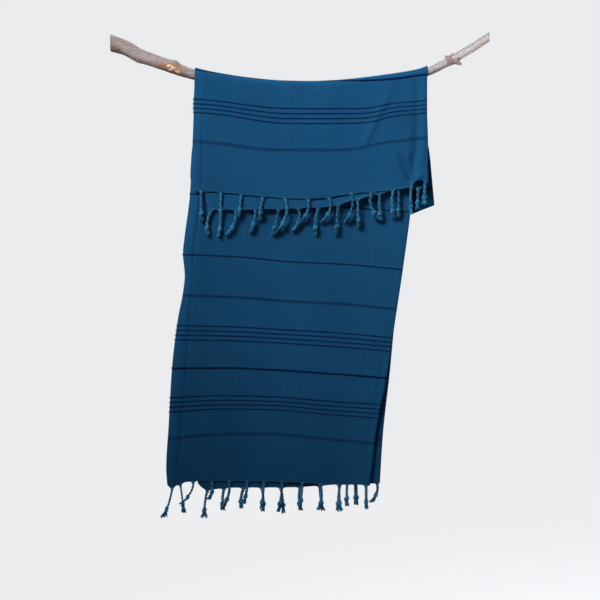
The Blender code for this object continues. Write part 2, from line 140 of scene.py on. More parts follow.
# Hems and the foot of the loop: x, z
FLAP_HEM_A = (
    (-230, -207), (-217, -218), (-166, -221), (-77, -230), (17, -235), (107, -225), (195, -216),
    (232, -210), (240, -199), (252, -195), (262, -197), (267, -203),
)
FLAP_HEM_B = (
    (-206, -236), (-194, -254), (-180, -258), (-46, -256), (60, -252), (95, -243), (150, -229),
    (233, -213), (249, -213), (267, -206),
)
LOOP_FOOT = (
    (-204, -275), (-84, -279), (63, -277), (168, -273), (235, -265), (262, -255), (283, -247),
)
DROP_HEM_A = (
    (-217, -829), (-205, -842), (-193, -846), (-150, -842), (-31, -841), (73, -836), (169, -829),
)
DROP_HEM_B = (
    (-281, -833), (-272, -840), (-243, -830), (-214, -827), (-74, -828), (5, -830), (60, -834),
    (145, -836),
)

# Long waves of the drop: x under the branch, x at the hem, half width, height at the hem
WAVES = ((-205, -255, 34, 2.5), (-70, -120, 70, -3.0), (60, 5, 62, 3.5), (170, 95, 40, -2.5))

# Cords: x of the root, sideways shifts at mid length and at the tip, length, forward lean
FLAP_CORDS_A = (
    (-207, 0, 1, 61, 6), (-165, -1, -1, 51, 6), (-123, -2, -5, 46, 6), (-77, -5, -6, 48, 6),
    (-31, 2, -21, 71, 8), (18, -2, -18, 48, 7), (61, 2, -15, 50, 7), (108, 1, -12, 57, 7),
    (151, -2, 17, 57, 7), (195, -2, 2, 58, 6), (233, -1, 0, 56, 6), (262, -1, -1, 48, 5),
)
FLAP_CORDS_B = (
    (-186, -8, -7, 51, 1), (-166, -1, -5, 55, -1), (-134, -3, -19, 50, 0), (-93, -3, -12, 46, 0),
    (-45, -5, -12, 53, 0), (-3, 2, -12, 44, 0), (38, -5, -5, 55, 0), (80, -2, -3, 61, 0),
    (121, 1, 2, 56, 0), (167, 0, 5, 53, 0), (207, 0, 0, 55, 0), (248, -1, -2, 43, 0),
)
DROP_CORDS_A = (
    (-195, -5, -6, 57, -4), (-160, -3, -2, 45, -4), (-119, -5, -4, 42, -4), (-80, 3, 2, 49, -4),
    (-40, 4, 5, 52, -4), (0, -2, 2, 47, -4), (42, 2, 6, 51, -4), (84, -3, -4, 53, -4),
    (118, 1, 1, 44, -2), (162, 0, -12, 42, -2),
)
DROP_CORDS_B = (
    (-268, -7, -19, 62, 2), (-251, 4, 7, 58, 1), (-224, -6, -26, 45, 12), (-185, 1, -8, 37, 3),
    (-149, -1, -13, 53, 3), (-110, -3, -8, 46, 3), (-75, -3, -5, 57, 3), (-37, -3, -9, 61, 3),
    (5, -2, -5, 51, 3), (43, 2, -3, 53, 3), (82, 1, 2, 54, 3), (139, 0, 0, 48, 3),
)
# Cords in the tuck: share of the way from half A to half B, sideways shifts, length, forward lean,
# fall back
TUCK_CORDS = ((0.33, 0, 0, 44, 0, 0), (0.69, -1, -1, 45, 0, 0))
# The part of a cord above its root, and its tuft with the knot
ROOT_SHARE, TUFT_SHARE, TUFT_LEAST = 0.05, 0.34, 19 * MM
# The cords near the drop's selvage are thinner
THIN_GIRTH, THIN_BEYOND = 0.76, -220
# How far the tufts of some cords of the drop are frayed: half and x of the root
FRAYED = {(B, -268): 1.0, (B, -251): 0.6, (B, 43): 0.7, (A, -195): 0.9, (B, 82): 0.6}

# Creases of the flap's front half and of the drop: x and z of the upper end and of the lower
# end, half width, height towards the viewer
FLAP_CREASES = (
    (190, -4, 138, -118, 8, 3.0), (200, -4, 148, -116, 5, -1.4), (245, 20, 246, -135, 8, -3.2),
    (259, 10, 260, -145, 9, 2.6), (249, -70, 240, -150, 10, -2.2), (240, -150, 234, -188, 8, -4.0),
    (212, -146, 232, -194, 6, -3.4), (218, -160, 232, -194, 5.5, -4.4),
    (222, -146, 232, -172, 6, 1.8), (194, -150, 210, -212, 12, 1.4), (249, -190, 252, -202, 9, 7.5),
    (-203, 20, -205, -205, 3, -1.8), (30, -60, 44, -190, 30, 0.9), (-90, -40, -120, -200, 34, 0.8),
    (-190, -60, -150, -180, 26, 0.8), (28, -224, 84, -220, 16, 1.5),
)
DROP_CREASES = (
    (124, -382, 137, -456, 7, 0.9), (-44, -453, -25, -508, 5, -1.3),
    (-209, -245, -222, -340, 3, -1.8), (-222, -340, -233, -520, 3, -1.6),
    (-233, -520, -256, -800, 3, -1.4), (60, -600, 30, -720, 10, 0.6),
    (-150, -560, -140, -680, 12, 0.6), (196, -470, 172, -590, 5, -1.0),
    (172, -590, 148, -715, 5, -1.1), (148, -715, 132, -832, 5, -1.2),
    (121, -762, 126, -815, 5, -1.4),
)

# Woven courses: how far each lies from the cut end along the cloth, and its level
# On the flap by x, and on the drop by the share of the way from the selvages to the fold
FLAP_COURSES = (
    (99.8, (
        (-223, -113.2), (-161.7, -119.7), (-107, -127.7), (-71, -132.3), (73.5, -132.7),
        (128, -129.2), (157, -120), (199.5, -114), (236, -110.5), (247, -107),
    )),
    (155.4, (
        (-223, -53.1), (-161.7, -58), (-89, -70.6), (-36, -77), (54.6, -77.1), (145, -75),
        (171, -68.7), (199.5, -59.6), (236, -58.6), (261.5, -53),
    )),
    (184.8, (
        (-223, -25.2), (-161.7, -30.9), (-107, -38.9), (-36, -45.4), (54.6, -46), (145, -45.2),
        (171, -39.9), (199.5, -32.6), (236, -31.7), (261.5, -28),
    )),
    (231.0, (
        (-223, 29), (-161.7, 21), (-107, 14.4), (-36, 11), (19, 10.3), (84, 6.2), (128, 3.4),
        (199.5, 7.1), (261.5, 17),
    )),
)
DROP_COURSES = (
    (99.8, (-738.8, -729.3, -728.3, -738.2, -748.4)),
    (184.8, (-652.3, -648.3, -651.0, -659.8, -667.0)),
    (241.5, (-590.5, -590.0, -594.4, -602.2, -610.7)),
    (336.0, (-500.6, -503.6, -509.9, -516.6, -526.5)),
    (399.0, (-437.3, -441.3, -449.9, -455.6, -466.4)),
    (485.0, (-351.8, -356.5, -367.2, -372.6, -383.4)),
    (612.2, (-223.7, -231.0, -243.6, -254.1, -262.5)),
)

# Woven lines: distance from either cut end, width, softness of the edge, strength
WOVEN_LINES = (
    (99.8, 7.0, 3.0, 0.5), (155.4, 2.9, 1.2, 0.92), (165.1, 2.9, 1.2, 0.92),
    (174.9, 2.9, 1.2, 0.92), (184.8, 2.9, 1.2, 0.92), (241.5, 4.6, 1.4, 1.0),
    (304.5, 2.9, 1.2, 0.95), (315.0, 2.9, 1.2, 0.95), (325.5, 2.9, 1.2, 0.95),
    (336.0, 2.9, 1.2, 0.95), (399.0, 6.0, 3.0, 0.6), (485.0, 3.2, 1.2, 0.95),
    (612.2, 3.2, 1.2, 0.95),
)

# ---- fineness of the meshes

# Columns of a half as shares of its width, closer together near the selvage and near the fold
ACROSS = np.concatenate(
    [np.linspace(0, 0.074, 15), np.linspace(0.074, 0.856, 69)[1:], np.linspace(0.856, 1, 24)[1:]]
)
# Rows of the flap and the drop as shares of their height, closer together near the hems
FLAP_SHARES = np.concatenate([np.linspace(1, 0.9, 9), np.linspace(0.9, 0, 34)[1:]])
DROP_SHARES = np.concatenate([np.linspace(0, 0.965, 90), np.linspace(0.965, 1, 11)[1:]])
HALF_COLUMNS = len(ACROSS)
TURN_COLUMNS = 5
LEG_COLUMNS = 6
FOLD_COLUMNS = 3 * TURN_COLUMNS + 2 * LEG_COLUMNS - 1
CREST_ROWS = 10
REAR_ROWS = 20
LOOP_ROWS = 7
CORD_STEPS = 34
KNOT_STEPS = 40
PLY_SIDES = 7
STRANDS = 26
STRAND_STEPS = 6
BRANCH_STEPS = 160
VOXEL = 1.5 * MM

# ---- stage, in metres

# Lamps: name, place, size, power's property and share of it, spread in degrees, what it points at
LAMPS = (
    ("key_light", (-1, -1.5, 2), 1.8, "key_power", 1, 30, (0.03, 0, 0.5)),
    ("fill_light", (1.2, -2.8, -0.2), 1.2, "fill_power", 1, 60, (0.03, 0, -0.4)),
    ("left_bark_light", (-0.6, -1.1, -0.5), 0.12, "bark_power", 1, 9, (-0.33, 0, 0.05)),
    ("right_bark_light", (0.58, -0.95, -0.75), 0.12, "bark_power", 4, 9, (0.37, 0, 0.075)),
    ("back_light", (0.4, 2, 2), 1.2, "key_power", 0.8, 60, (0.03, 0, -0.4)),
)
FILL_TINT = (0.8, 0.9, 1)
COVE = 2.0
COVE_STEPS = 10
SURROUND_SIDES = 96
WALL_HEIGHT = 7.0


# ---- properties


def length(name, description, default, low, high):
    return FloatProperty(
        name=name,
        description=description,
        default=default,
        min=low,
        max=high,
        precision=5,
        unit="LENGTH",
    )


def tint(name, description, default):
    return FloatVectorProperty(
        name=name, description=description, default=default, size=3, min=0, max=1, subtype="COLOR"
    )


def number(name, description, default, **limits):
    return FloatProperty(name=name, description=description, default=default, **limits)


class TowelLook(bpy.types.PropertyGroup):
    """Sizes and colours of the cloth and its fringes"""

    thickness: length("Thickness", "Thickness of one layer of the cloth", SHEET, 0.3 * MM, 1.1 * MM)
    yarn_pitch: length("Yarn pitch", "From yarn to yarn of the weave", 1.15 * MM, 0.4 * MM, 3 * MM)
    ground: tint("Ground", "Colour of the cloth between its lines", (0.0095, 0.076, 0.182))
    line: tint("Lines", "Colour of the woven lines", (0.0015, 0.0085, 0.045))
    cord: tint("Cords", "Colour of the twisted cords", (0.03, 0.15, 0.28))
    ply_radius: length("Ply radius", "Radius of a cord's two plies", 1.6 * MM, 0.5 * MM, 3 * MM)
    twist_pitch: length("Twist pitch", "Length of cord to a turn", 12 * MM, 4 * MM, 40 * MM)
    knot_radius: length("Knot radius", "Radius of a knot's turns", 3.9 * MM, 1 * MM, 6 * MM)


class BranchLook(bpy.types.PropertyGroup):
    """Relief and colours of the branch"""

    relief: length("Relief", "Height of the bark's ridges", 0.3 * MM, 0, 2 * MM)
    dark_bark: tint("Dark bark", "Colour of the thick end", (0.41, 0.325, 0.325))
    pale_bark: tint("Pale bark", "Colour of the thin end", (0.44, 0.405, 0.415))
    bare_wood: tint("Bare wood", "Colour of the scars", (0.95, 0.76, 0.5))


class StageLook(bpy.types.PropertyGroup):
    """Floor, light and camera"""

    floor_level: length("Floor level", "Height of the floor", -1.35, -5, 0)
    surround: length("Surround", "Radius of the curved wall round the towel", 8, 7, 20)
    backdrop: tint("Backdrop", "Colour of the floor and the wall", (0.16, 0.16, 0.17))
    key_power: number("Key", "Power of the main light in watts", 13.9)
    fill_power: number("Fill", "Power of the weaker light in watts", 0.65)
    bark_power: number("Bark", "Power of a lamp on the bare branch in watts", 0.012)
    sky: number("Sky", "Strength of the light from all round", 0.06)
    distance: length("Camera distance", "From the camera to the branch", 5, 0.5, 20)
    camera_level: length("Camera level", "Height of the camera", -0.447, -5, 5)
    lens: number("Lens", "Focal length of the camera", 142.5, min=10, unit="CAMERA")


# ---- functions of the shape


def mix(a, b, share):
    return a + (b - a) * share


def ease(share):
    """0 to 1 with level ends."""
    share = np.clip(share, 0.0, 1.0)
    return share * share * (3 - 2 * share)


def bell(offset, width):
    return np.exp(-((offset / width) ** 2))


def curve(table):
    """Smooth function through a table of (position, value) in millimetres, level past its ends."""
    places, values = np.array(sorted(table), float).T * MM
    steps = np.diff(values) / np.diff(places)
    before, after = steps[:-1], steps[1:]
    total = np.where(before + after == 0, 1, before + after)
    inner = np.where(before * after > 0, 2 * before * after / total, 0)
    slopes = np.concatenate([steps[:1], inner, steps[-1:]])

    def value(place):
        place = np.clip(place, places[0], places[-1])
        k = np.clip(np.searchsorted(places, place, side="right") - 1, 0, len(steps) - 1)
        width = places[k + 1] - places[k]
        t = (place - places[k]) / width
        return (
            values[k] * (1 + 2 * t) * (1 - t) ** 2
            + slopes[k] * width * t * (1 - t) ** 2
            + values[k + 1] * t * t * (3 - 2 * t)
            - slopes[k + 1] * width * t * t * (1 - t)
        )

    return value


def both(table_a, table_b):
    """The curves of half A and half B."""
    return {A: curve(table_a), B: curve(table_b)}


branch_y, branch_z, branch_r = (curve([(row[0], row[k]) for row in BRANCH]) for k in (1, 2, 3))
loop_foot = curve(LOOP_FOOT)

EDGES = {
    "flap": (both(FLAP_LEFT_A, FLAP_LEFT_B), both(FLAP_RIGHT, FLAP_RIGHT)),
    "rear": (both(REAR_LEFT, REAR_LEFT), both(REAR_RIGHT, REAR_RIGHT)),
    "drop": (both(DROP_LEFT_A, DROP_LEFT_B), both(DROP_RIGHT, DROP_FACING)),
}
HEMS = {"flap": both(FLAP_HEM_A, FLAP_HEM_B), "drop": both(DROP_HEM_A, DROP_HEM_B)}
CORDS = {
    "flap": {A: FLAP_CORDS_A, B: FLAP_CORDS_B},
    "drop": {A: DROP_CORDS_A, B: DROP_CORDS_B},
}
FEET = {"flap": FLAP_FOOT, "rear": REAR_FOOT, "drop": DROP_FOOT}

FIRST_LAYER = BARK_GAP + SHEET / 2
PASSES = {
    "outer": {A: FIRST_LAYER + 3 * PITCH, B: FIRST_LAYER + 2 * PITCH},
    "inner": {A: FIRST_LAYER, B: FIRST_LAYER + PITCH},
}


def branch_lean(x):
    """How much taller than wide the branch's upright section is, because the branch slopes."""
    step = 5 * MM
    slope = (branch_z(x + step) - branch_z(x - step)) / (2 * step)
    return np.hypot(1, slope)


def ridges(table, x, z):
    """How far a table of creases brings the cloth forward."""
    total = 0.0
    for x0, z0, x1, z1, half_width, height in table:
        run, drop = (x1 - x0) * MM, (z1 - z0) * MM
        dx, dz = x - x0 * MM, z - z0 * MM
        share = np.clip((dx * run + dz * drop) / (run * run + drop * drop), 0, 1)
        aside = np.hypot(dx - run * share, dz - drop * share)
        total = total + height * MM * bell(aside, half_width * MM)
    return total


def averaged(function, x, reach, count):
    """Mean of a function at a count of places up to `reach` millimetres either side of x."""
    return sum(function(x + step * MM) for step in np.linspace(-reach, reach, count)) / count


def unevenness(x, z, seed, size):
    """Soft hang of real cloth as a sum of slow waves, most of them upright, from -1 to 1."""
    rng = random.Random(seed)
    total = 0.0
    for _ in range(7):
        across = rng.uniform(0.6, 1.6) * 2 * math.pi / size
        down = rng.uniform(-0.5, 0.5) * 2 * math.pi / size
        total = total + np.sin(across * x + down * z + rng.uniform(0, 7)) / 7
    return total


def waves(x, z):
    """How far the drop's long waves bring it forward."""
    below = ease((TOP_LEVEL - z) / (TOP_LEVEL - DROP_FOOT))
    total = 0.0
    for x_top, x_foot, half_width, height in WAVES:
        middle = mix(x_top, x_foot, below) * MM
        total = total + height * MM * below * bell(x - middle, half_width * MM)
    return total


def drop_parting(depth, share):
    """Distance from half B to half A of the drop, wider towards the foot and the fold."""
    foot = mix(DROP_OPEN_LEFT, DROP_OPEN_RIGHT, ease(share) ** 2.5)
    lower = mix(0.55, 1, np.minimum(depth / -DROP_FOOT, 1))
    return mix(PITCH, foot, ease(depth / (90 * MM)) * lower)


def flap_parting(depth):
    return mix(PITCH, FLAP_OPEN, np.minimum(depth / FLAP_LENGTH, 1))


def rear_parting(share):
    return mix(PITCH, LOOP_OUTER - LOOP_INNER, ease(share))


def tuck_formed(share):
    return ease((share - TUCK_START) / (TUCK_FORMED - TUCK_START))


def fold_room(part, share):
    """How far short of the right edge the halves end, to leave room for the fold's turn."""
    if part == "flap":
        return flap_parting(share * FLAP_LENGTH) / 2
    if part == "rear":
        return rear_parting(share) / 2
    parting = drop_parting(share * -DROP_FOOT, 1)
    return mix(parting / 2, parting / 6, tuck_formed(share))


def side_x(part, half, share, across):
    level = mix(TOP_LEVEL, FEET[part], share)
    left, right = EDGES[part]
    return mix(left[half](level), right[half](level) - fold_room(part, share), across)


def stacked(x, y, z):
    return np.stack(np.broadcast_arrays(x, y, z), axis=-1)


def run_along(points, axis=0):
    """Distance along lines of points from their first points."""
    steps = np.linalg.norm(np.diff(points, axis=axis), axis=-1)
    return np.cumsum(np.insert(steps, 0, 0, axis=axis), axis=axis)


def hem_shape(part, half, x):
    """How far the cut end dips at its cords and rises between them."""
    roots = np.array([row[0] for row in CORDS[part][half]]) * MM
    nearest = np.abs(np.asarray(x)[..., None] - roots).min(axis=-1)
    return 0.8 * MM - 2.7 * MM * bell(nearest, 5.5 * MM)


def hang(part, x, z, depth):
    """How far the cloth's uneven hang brings it forward."""
    seed, size, height, formed = HANG[part]
    return height * unevenness(x, z, seed, size) * ease(depth / formed)


def selvage_bend(part, half, x, z, depth):
    """How far a selvage bends back from the viewer."""
    width, height = SELVAGE_BEND[part]
    edge = np.maximum(1 - (x - EDGES[part][0][half](z)) / width, 0)
    return height * edge * edge * ease(depth / BEND_FORMED)


def drop_front(x, z):
    """Depth of the drop's half B without its fine shape."""
    return branch_y(x) - branch_r(x) - PASSES["inner"][B] - waves(x, z)


def drop_y(half, x, z, across):
    """Depth of the drop's halves."""
    depth = np.maximum(branch_z(x) - z, 0)
    front = drop_front(x, z) - hang("drop", x, z, depth) + selvage_bend("drop", B, x, z, depth)
    if half == B:
        return front - ridges(DROP_CREASES, x, z)
    return front + drop_parting(depth, across)


def flap_stand(x, z, depth):
    """How far the flap stands off the drop behind it."""
    rightward = mix(0.5, 1.15, ease((x + 0.2) / 0.16))
    stand = FLAP_STAND * np.minimum(depth / FLAP_LENGTH, 1) ** 0.8 * rightward
    lift = FLAP_CURL + FLAP_LIFT * bell(x - FLAP_LIFT_PLACE, 40 * MM)
    return stand + lift * np.exp(-np.maximum(z - HEMS["flap"][B](x), 0) / (16 * MM))


def flap_y(half, x, z):
    """Depth of the flap's halves."""
    depth = np.maximum(branch_z(x) - z, 0)
    stand, parting = flap_stand(x, z, depth), flap_parting(depth)
    y = drop_front(x, z) - PITCH - stand - hang("flap", x, z, depth)
    y = y + selvage_bend("flap", A, x, z, depth)
    crease = ridges(FLAP_CREASES, x, z) * ease(depth / CREASES_FORMED)
    # a trough stops short of the drop, with room for half B in between
    room = np.maximum(stand + parting - 1.9 * PITCH, 0.05 * MM)
    crease = np.where(crease < 0, crease / (1 + (crease / room) ** 4) ** 0.25, crease)
    if half == A:
        return y - parting - crease
    # half B gives way to a trough and to the mouth, as far as the drop lets it
    margin = PITCH * (1 + 0.6 * ease(depth / 0.05))
    mouth = np.hypot((x - MOUTH_X) / (16 * MM), (z - MOUTH_Z) / (13 * MM))
    back = np.maximum(-crease - parting + margin, 0) + MOUTH_DEPTH * bell(mouth, 1)
    most = np.maximum(stand - 0.3 * PITCH, 0) + MOUTH_DEPTH * ease((x - 238 * MM) / (12 * MM))
    return y + np.minimum(back, most)


def hanging(part, half, share, across):
    """Points of the flap or of the drop."""
    x = side_x(part, half, share, across)
    hem = HEMS[part][half](x)
    z = mix(branch_z(x), hem, share)
    z = z + hem_shape(part, half, x) * np.exp(-(z - hem) / HEM_REACH)
    y = drop_y(half, x, z, across) if part == "drop" else flap_y(half, x, z)
    return stacked(x, y, z)


def crest(lap, half, turn, across):
    """Points of a pass over the branch, `turn` degrees from the front over the top."""
    part = "flap" if lap == "outer" else "drop"
    x = mix(side_x(part, half, 0, across), side_x("rear", half, 0, across), turn / 180)
    reach = branch_r(x) + PASSES[lap][half]
    angle = np.radians(turn)
    y = branch_y(x) - reach * np.cos(angle)
    return stacked(x, y, branch_z(x) + reach * branch_lean(x) * np.sin(angle))


def loop_radius(half):
    return LOOP_OUTER if half == A else LOOP_INNER


def rear(lap, half, share, across):
    """Points of the two runs behind the branch."""
    x = side_x("rear", half, share, across)
    side = 1 if lap == "outer" else -1
    top_y = branch_y(x) + branch_r(x) + PASSES[lap][half]
    y = mix(top_y, LOOP_DEPTH + side * loop_radius(half), ease(share))
    y = y + 1.2 * MM * unevenness(x, share * 0.27, 6, 0.16) * np.sin(np.pi * share)
    return stacked(x, y, mix(branch_z(x), loop_foot(x) + LOOP_OUTER, share))


def loop(half, turn, across):
    """Points of the loop's foot, `turn` degrees from its outer side."""
    x = side_x("rear", half, 1, across)
    radius, angle = loop_radius(half), np.radians(turn)
    y = LOOP_DEPTH + radius * np.cos(angle)
    return stacked(x, y, loop_foot(x) + LOOP_OUTER - radius * np.sin(angle))


def half_turn(centre, start, bulge, steps):
    """Points strictly between the ends of a half turn, as one array a point."""
    angles = [math.pi * k / steps for k in range(1, steps)]
    return [centre + start * math.cos(angle) + bulge * math.sin(angle) for angle in angles]


def along_x(distance):
    return stacked(distance, 0 * distance, 0 * distance)


def plain_fold(end_a, end_b):
    """The lengthwise fold as one half turn."""
    start = (end_a - end_b) / 2
    bulge = along_x(np.linalg.norm(start, axis=-1))
    return half_turn((end_a + end_b) / 2, start, bulge, FOLD_COLUMNS + 1)


def tucked_fold(end_a, end_b, depth):
    """The lengthwise fold pushed in between the halves, as three half turns and two legs."""
    third = (end_b - end_a) / 3
    radius = np.linalg.norm(third, axis=-1) / 2
    tuck_x = np.minimum(end_a[:, 0], end_b[:, 0]) - depth
    turns = ((end_a[:, 0], 0.5, radius), (tuck_x, 1.5, -radius), (end_b[:, 0], 2.5, radius))
    start = third / -2
    start[:, 0] = 0
    points = []
    for k, (x, thirds, bulge) in enumerate(turns):
        centre = end_a + third * thirds
        centre[:, 0] = x
        if k:
            shares = np.arange(1, LEG_COLUMNS + 1) / LEG_COLUMNS
            points += [mix(points[-1], centre + start, share) for share in shares]
        points += half_turn(centre, start, along_x(bulge), TURN_COLUMNS)
        points.append(centre - start)
    return points[:-1]


def rows_of(place, shares):
    """The two halves of some rows: place(half, shares as a column, across as a row)."""
    across, column = ACROSS[None, :], np.asarray(shares, float)[:, None]
    return place(A, column, across), place(B, column, across)[:, ::-1]


def join_halves(halves, tuck_shares=None):
    """Rows from half A's selvage over the fold to half B's selvage."""
    half_a, half_b = halves
    end_a, end_b = half_a[:, -1], half_b[:, 0]
    fold = plain_fold(end_a, end_b)
    if tuck_shares is not None:
        formed = tuck_formed(tuck_shares)[:, None]
        tucked = tucked_fold(end_a, end_b, TUCK * tuck_shares)
        fold = [mix(p, q, formed) for p, q in zip(fold, tucked)]
    return np.concatenate([half_a, np.stack(fold, axis=1), half_b], axis=1)


def course_distance(halves, shares, part):
    """Distance of each point of the flap or the drop from the cut end, along the cloth."""
    across, column = ACROSS[None, :], shares[:, None]
    facing, hidden = (A, B) if part == "flap" else (B, A)
    seen = halves[0] if facing == A else halves[1][:, ::-1]
    x, z = seen[..., 0], seen[..., 2]
    hem = HEMS[part][facing](x)
    if part == "flap":
        courses = [(value, averaged(curve(table), x, 20, 6)) for value, table in FLAP_COURSES]
    else:
        places = (0, 250, 500, 750, 1000)
        courses = [(value, curve([*zip(places, row)])(across)) for value, row in DROP_COURSES]
    distance, below, level = 0 * z, 0.0, hem
    for value, course in courses:
        share = np.clip((z - level) / (course - level), 0, 1)
        distance = distance + share * (value * MM - below)
        below, level = value * MM, course
    distance = distance + np.maximum(z - level, 0) * 1.02 + np.minimum(z - hem, 0)
    # the half behind has its own hem, and so its lines lie higher or lower
    hidden_x = side_x(part, hidden, column, across)
    longer = averaged(HEMS[part][facing], x, 75, 7) - averaged(HEMS[part][hidden], hidden_x, 75, 7)
    behind = distance + longer * (1 - across**4) * (1 - column)
    if part == "drop":
        behind = behind - 5 * MM * tuck_formed(column) * across**4
    return (distance, behind) if facing == A else (behind, distance)


def over_fold(values_a, values_b):
    """Values of both halves, with even steps over the fold between them."""
    shares = np.linspace(0, 1, FOLD_COLUMNS + 2)[1:-1][None, :]
    fold = mix(values_a[:, -1:], values_b[:, -1:], shares)
    return np.concatenate([values_a, fold, values_b[:, ::-1]], axis=1)


def cloth_grid():
    """Points of the cloth in rows from the front end to the long end, with each point's distance
    from the nearer cut end and its length along the whole cloth."""
    turns = np.linspace(0, 180, CREST_ROWS)
    rear_shares = np.linspace(0, 1, REAR_ROWS)
    loops = np.linspace(0, 180, LOOP_ROWS)
    flap = rows_of(partial(hanging, "flap"), FLAP_SHARES)
    drop = rows_of(partial(hanging, "drop"), DROP_SHARES)
    between = (
        rows_of(partial(crest, "outer"), turns[1:]),
        rows_of(partial(rear, "outer"), rear_shares[1:]),
        rows_of(loop, loops[1:]),
        rows_of(partial(rear, "inner"), rear_shares[-2::-1]),
        rows_of(partial(crest, "inner"), turns[-2:0:-1]),
    )
    parts = [join_halves(pair) for pair in (flap, *between)]
    points = np.concatenate([*parts, join_halves(drop, DROP_SHARES)])
    flap_distance = over_fold(*course_distance(flap, FLAP_SHARES, "flap"))
    drop_distance = over_fold(*course_distance(drop, DROP_SHARES, "drop"))
    unseen = points[len(FLAP_SHARES) - 1 : len(points) - len(DROP_SHARES) + 1]
    hidden = flap_distance[-1] + run_along(unseen)[1:]
    near_end = np.concatenate([flap_distance, hidden[:-1], drop_distance])
    whole = hidden[-1] + drop_distance[0]
    run = np.concatenate([flap_distance, hidden[:-1], whole - drop_distance])
    return points, near_end, run


# ---- meshes


def unit(vectors):
    size = np.linalg.norm(vectors, axis=-1, keepdims=True)
    return vectors / np.where(size == 0, 1, size)


def bisectors(points, axis):
    """Unit direction of each line of a grid of points along one axis."""
    steps = unit(np.diff(points, axis=axis))
    first, last = np.take(steps, [0], axis), np.take(steps, [-1], axis)
    return unit(np.concatenate([first, steps], axis) + np.concatenate([steps, last], axis))


def make_object(name, vertices, faces, material, sharp_degrees=50):
    """New piece at the origin, smooth but for its sharp edges, with its place in its mesh."""
    mesh = bpy.data.meshes.new(name)
    mesh.from_pydata(vertices.tolist(), [], faces)
    mesh.validate()
    mesh.shade_smooth()
    mesh.set_sharp_from_angle(angle=math.radians(sharp_degrees))
    mesh.materials.append(material)
    made = bpy.data.objects.new(name, mesh)
    bpy.context.scene.collection.objects.link(made)
    return made


def point_values(mesh, name, values):
    layer = mesh.attributes.new(name, "FLOAT", "POINT")
    layer.data.foreach_set("value", np.asarray(values, np.float32))


def lay_uv(mesh, name, u, v):
    layer = mesh.uv_layers.new(name=name)
    corners = np.empty(len(mesh.loops), np.int32)
    mesh.loops.foreach_get("vertex_index", corners)
    places = np.stack([u[corners], v[corners]], axis=1)
    layer.data.foreach_set("uv", places.astype(np.float32).ravel())


def thick_sheet(name, points, thickness, material):
    """Closed sheet whose middle surface is a grid of points."""
    rows, columns = points.shape[:2]
    out = unit(np.cross(bisectors(points, 0), bisectors(points, 1))) * thickness / 2
    vertices = np.concatenate([(points + out).reshape(-1, 3), (points - out).reshape(-1, 3)])
    index = np.arange(rows * columns).reshape(rows, columns)
    back = index + rows * columns

    def quads(grid, flip):
        corners = [grid[:-1, :-1], grid[:-1, 1:], grid[1:, 1:], grid[1:, :-1]]
        return np.stack(corners[::-1] if flip else corners, axis=-1).reshape(-1, 4)

    def ring(grid):
        return np.array([*grid[0, :-1], *grid[:-1, -1], *grid[-1, :0:-1], *grid[:0:-1, 0]])

    near, far = ring(index), ring(back)
    rim = np.stack([near, far, np.roll(far, -1), np.roll(near, -1)], axis=-1)
    faces = np.concatenate([quads(index, True), quads(back, False), rim])
    return make_object(name, vertices, faces.tolist(), material)


def between_points(places, known, points):
    """Points at some places on a line whose points lie at known places."""
    return np.stack([np.interp(places, known, points[:, k]) for k in range(3)], axis=-1)


def side_axes(points, aside):
    """Two directions square to a line of points, which never runs along `aside`."""
    along = unit(np.gradient(points, axis=0))
    first = unit(np.cross(along, np.asarray(aside, float)))
    return first, np.cross(along, first)


def stack_rings(rings, first=0):
    """Index of each point of a stack of rings, and the faces between the rings."""
    rows, sides = rings.shape[:2]
    index = first + np.arange(rows * sides).reshape(rows, sides)
    after = np.roll(index, -1, axis=1)
    walls = np.stack([index[:-1], after[:-1], after[1:], index[1:]], axis=-1)
    return index, walls.reshape(-1, 4).tolist()


class Yarns:
    """Collects closed tubes into one mesh, with a UV in metres and a tone for each."""

    def __init__(self):
        self.vertices, self.faces, self.u, self.v, self.tone = [], [], [], [], []
        self.count = 0

    def add(self, points, radii, sides, tone, aside=(1, 0, 0)):
        """Adds a tube along points; `aside` is a direction that it never runs in."""
        points = np.asarray(points, float)
        radii = np.broadcast_to(radii, len(points))
        first, second = side_axes(points, aside)
        angles = np.linspace(0, 2 * math.pi, sides, endpoint=False)
        cos, sin = np.cos(angles)[None, :, None], np.sin(angles)[None, :, None]
        spokes = first[:, None] * cos + second[:, None] * sin
        rings = points[:, None] + spokes * radii[:, None, None]
        index, walls = stack_rings(rings, self.count)
        self.faces += walls + [index[0, ::-1].tolist(), index[-1].tolist()]
        self.vertices.append(rings.reshape(-1, 3))
        self.u.append(np.tile(angles * radii.mean(), len(points)))
        self.v.append(np.repeat(run_along(points), sides))
        self.tone.append(np.full(len(points) * sides, tone))
        self.count += len(points) * sides

    def finish(self, name, material):
        made = make_object(name, np.concatenate(self.vertices), self.faces, material, 60)
        lay_uv(made.data, "yarn", np.concatenate(self.u), np.concatenate(self.v))
        point_values(made.data, "tone", np.concatenate(self.tone))
        return made


# ---- cords


def cord_route(root, mid_shift, tip_shift, length, lean, settle, shares):
    """Points of a cord from its root, by share of its length; its tip falls back by `settle`."""
    shares = np.asarray(shares, float)
    swing = mid_shift * 4 * shares * (1 - shares) + tip_shift * shares * (2 * shares - 1)
    forward = 0.6 * lean * shares * (2 - shares) - settle * shares**3
    return root + np.stack([swing, -forward, -length * shares], axis=-1) * MM


def rest_back(part, root, length, lean):
    """How far in millimetres a cord's tip falls back towards the drop, which only a cord of the
    flap has behind it."""
    tip_z = root[2] - length * MM
    if part == "drop" or root[0] > EDGES["drop"][1][B](tip_z) - 5 * MM:
        return 0
    gap = drop_y(B, root[0], tip_z, 0) - root[1]
    return max(float(gap) / MM + 0.6 * lean - 6.5, 0)


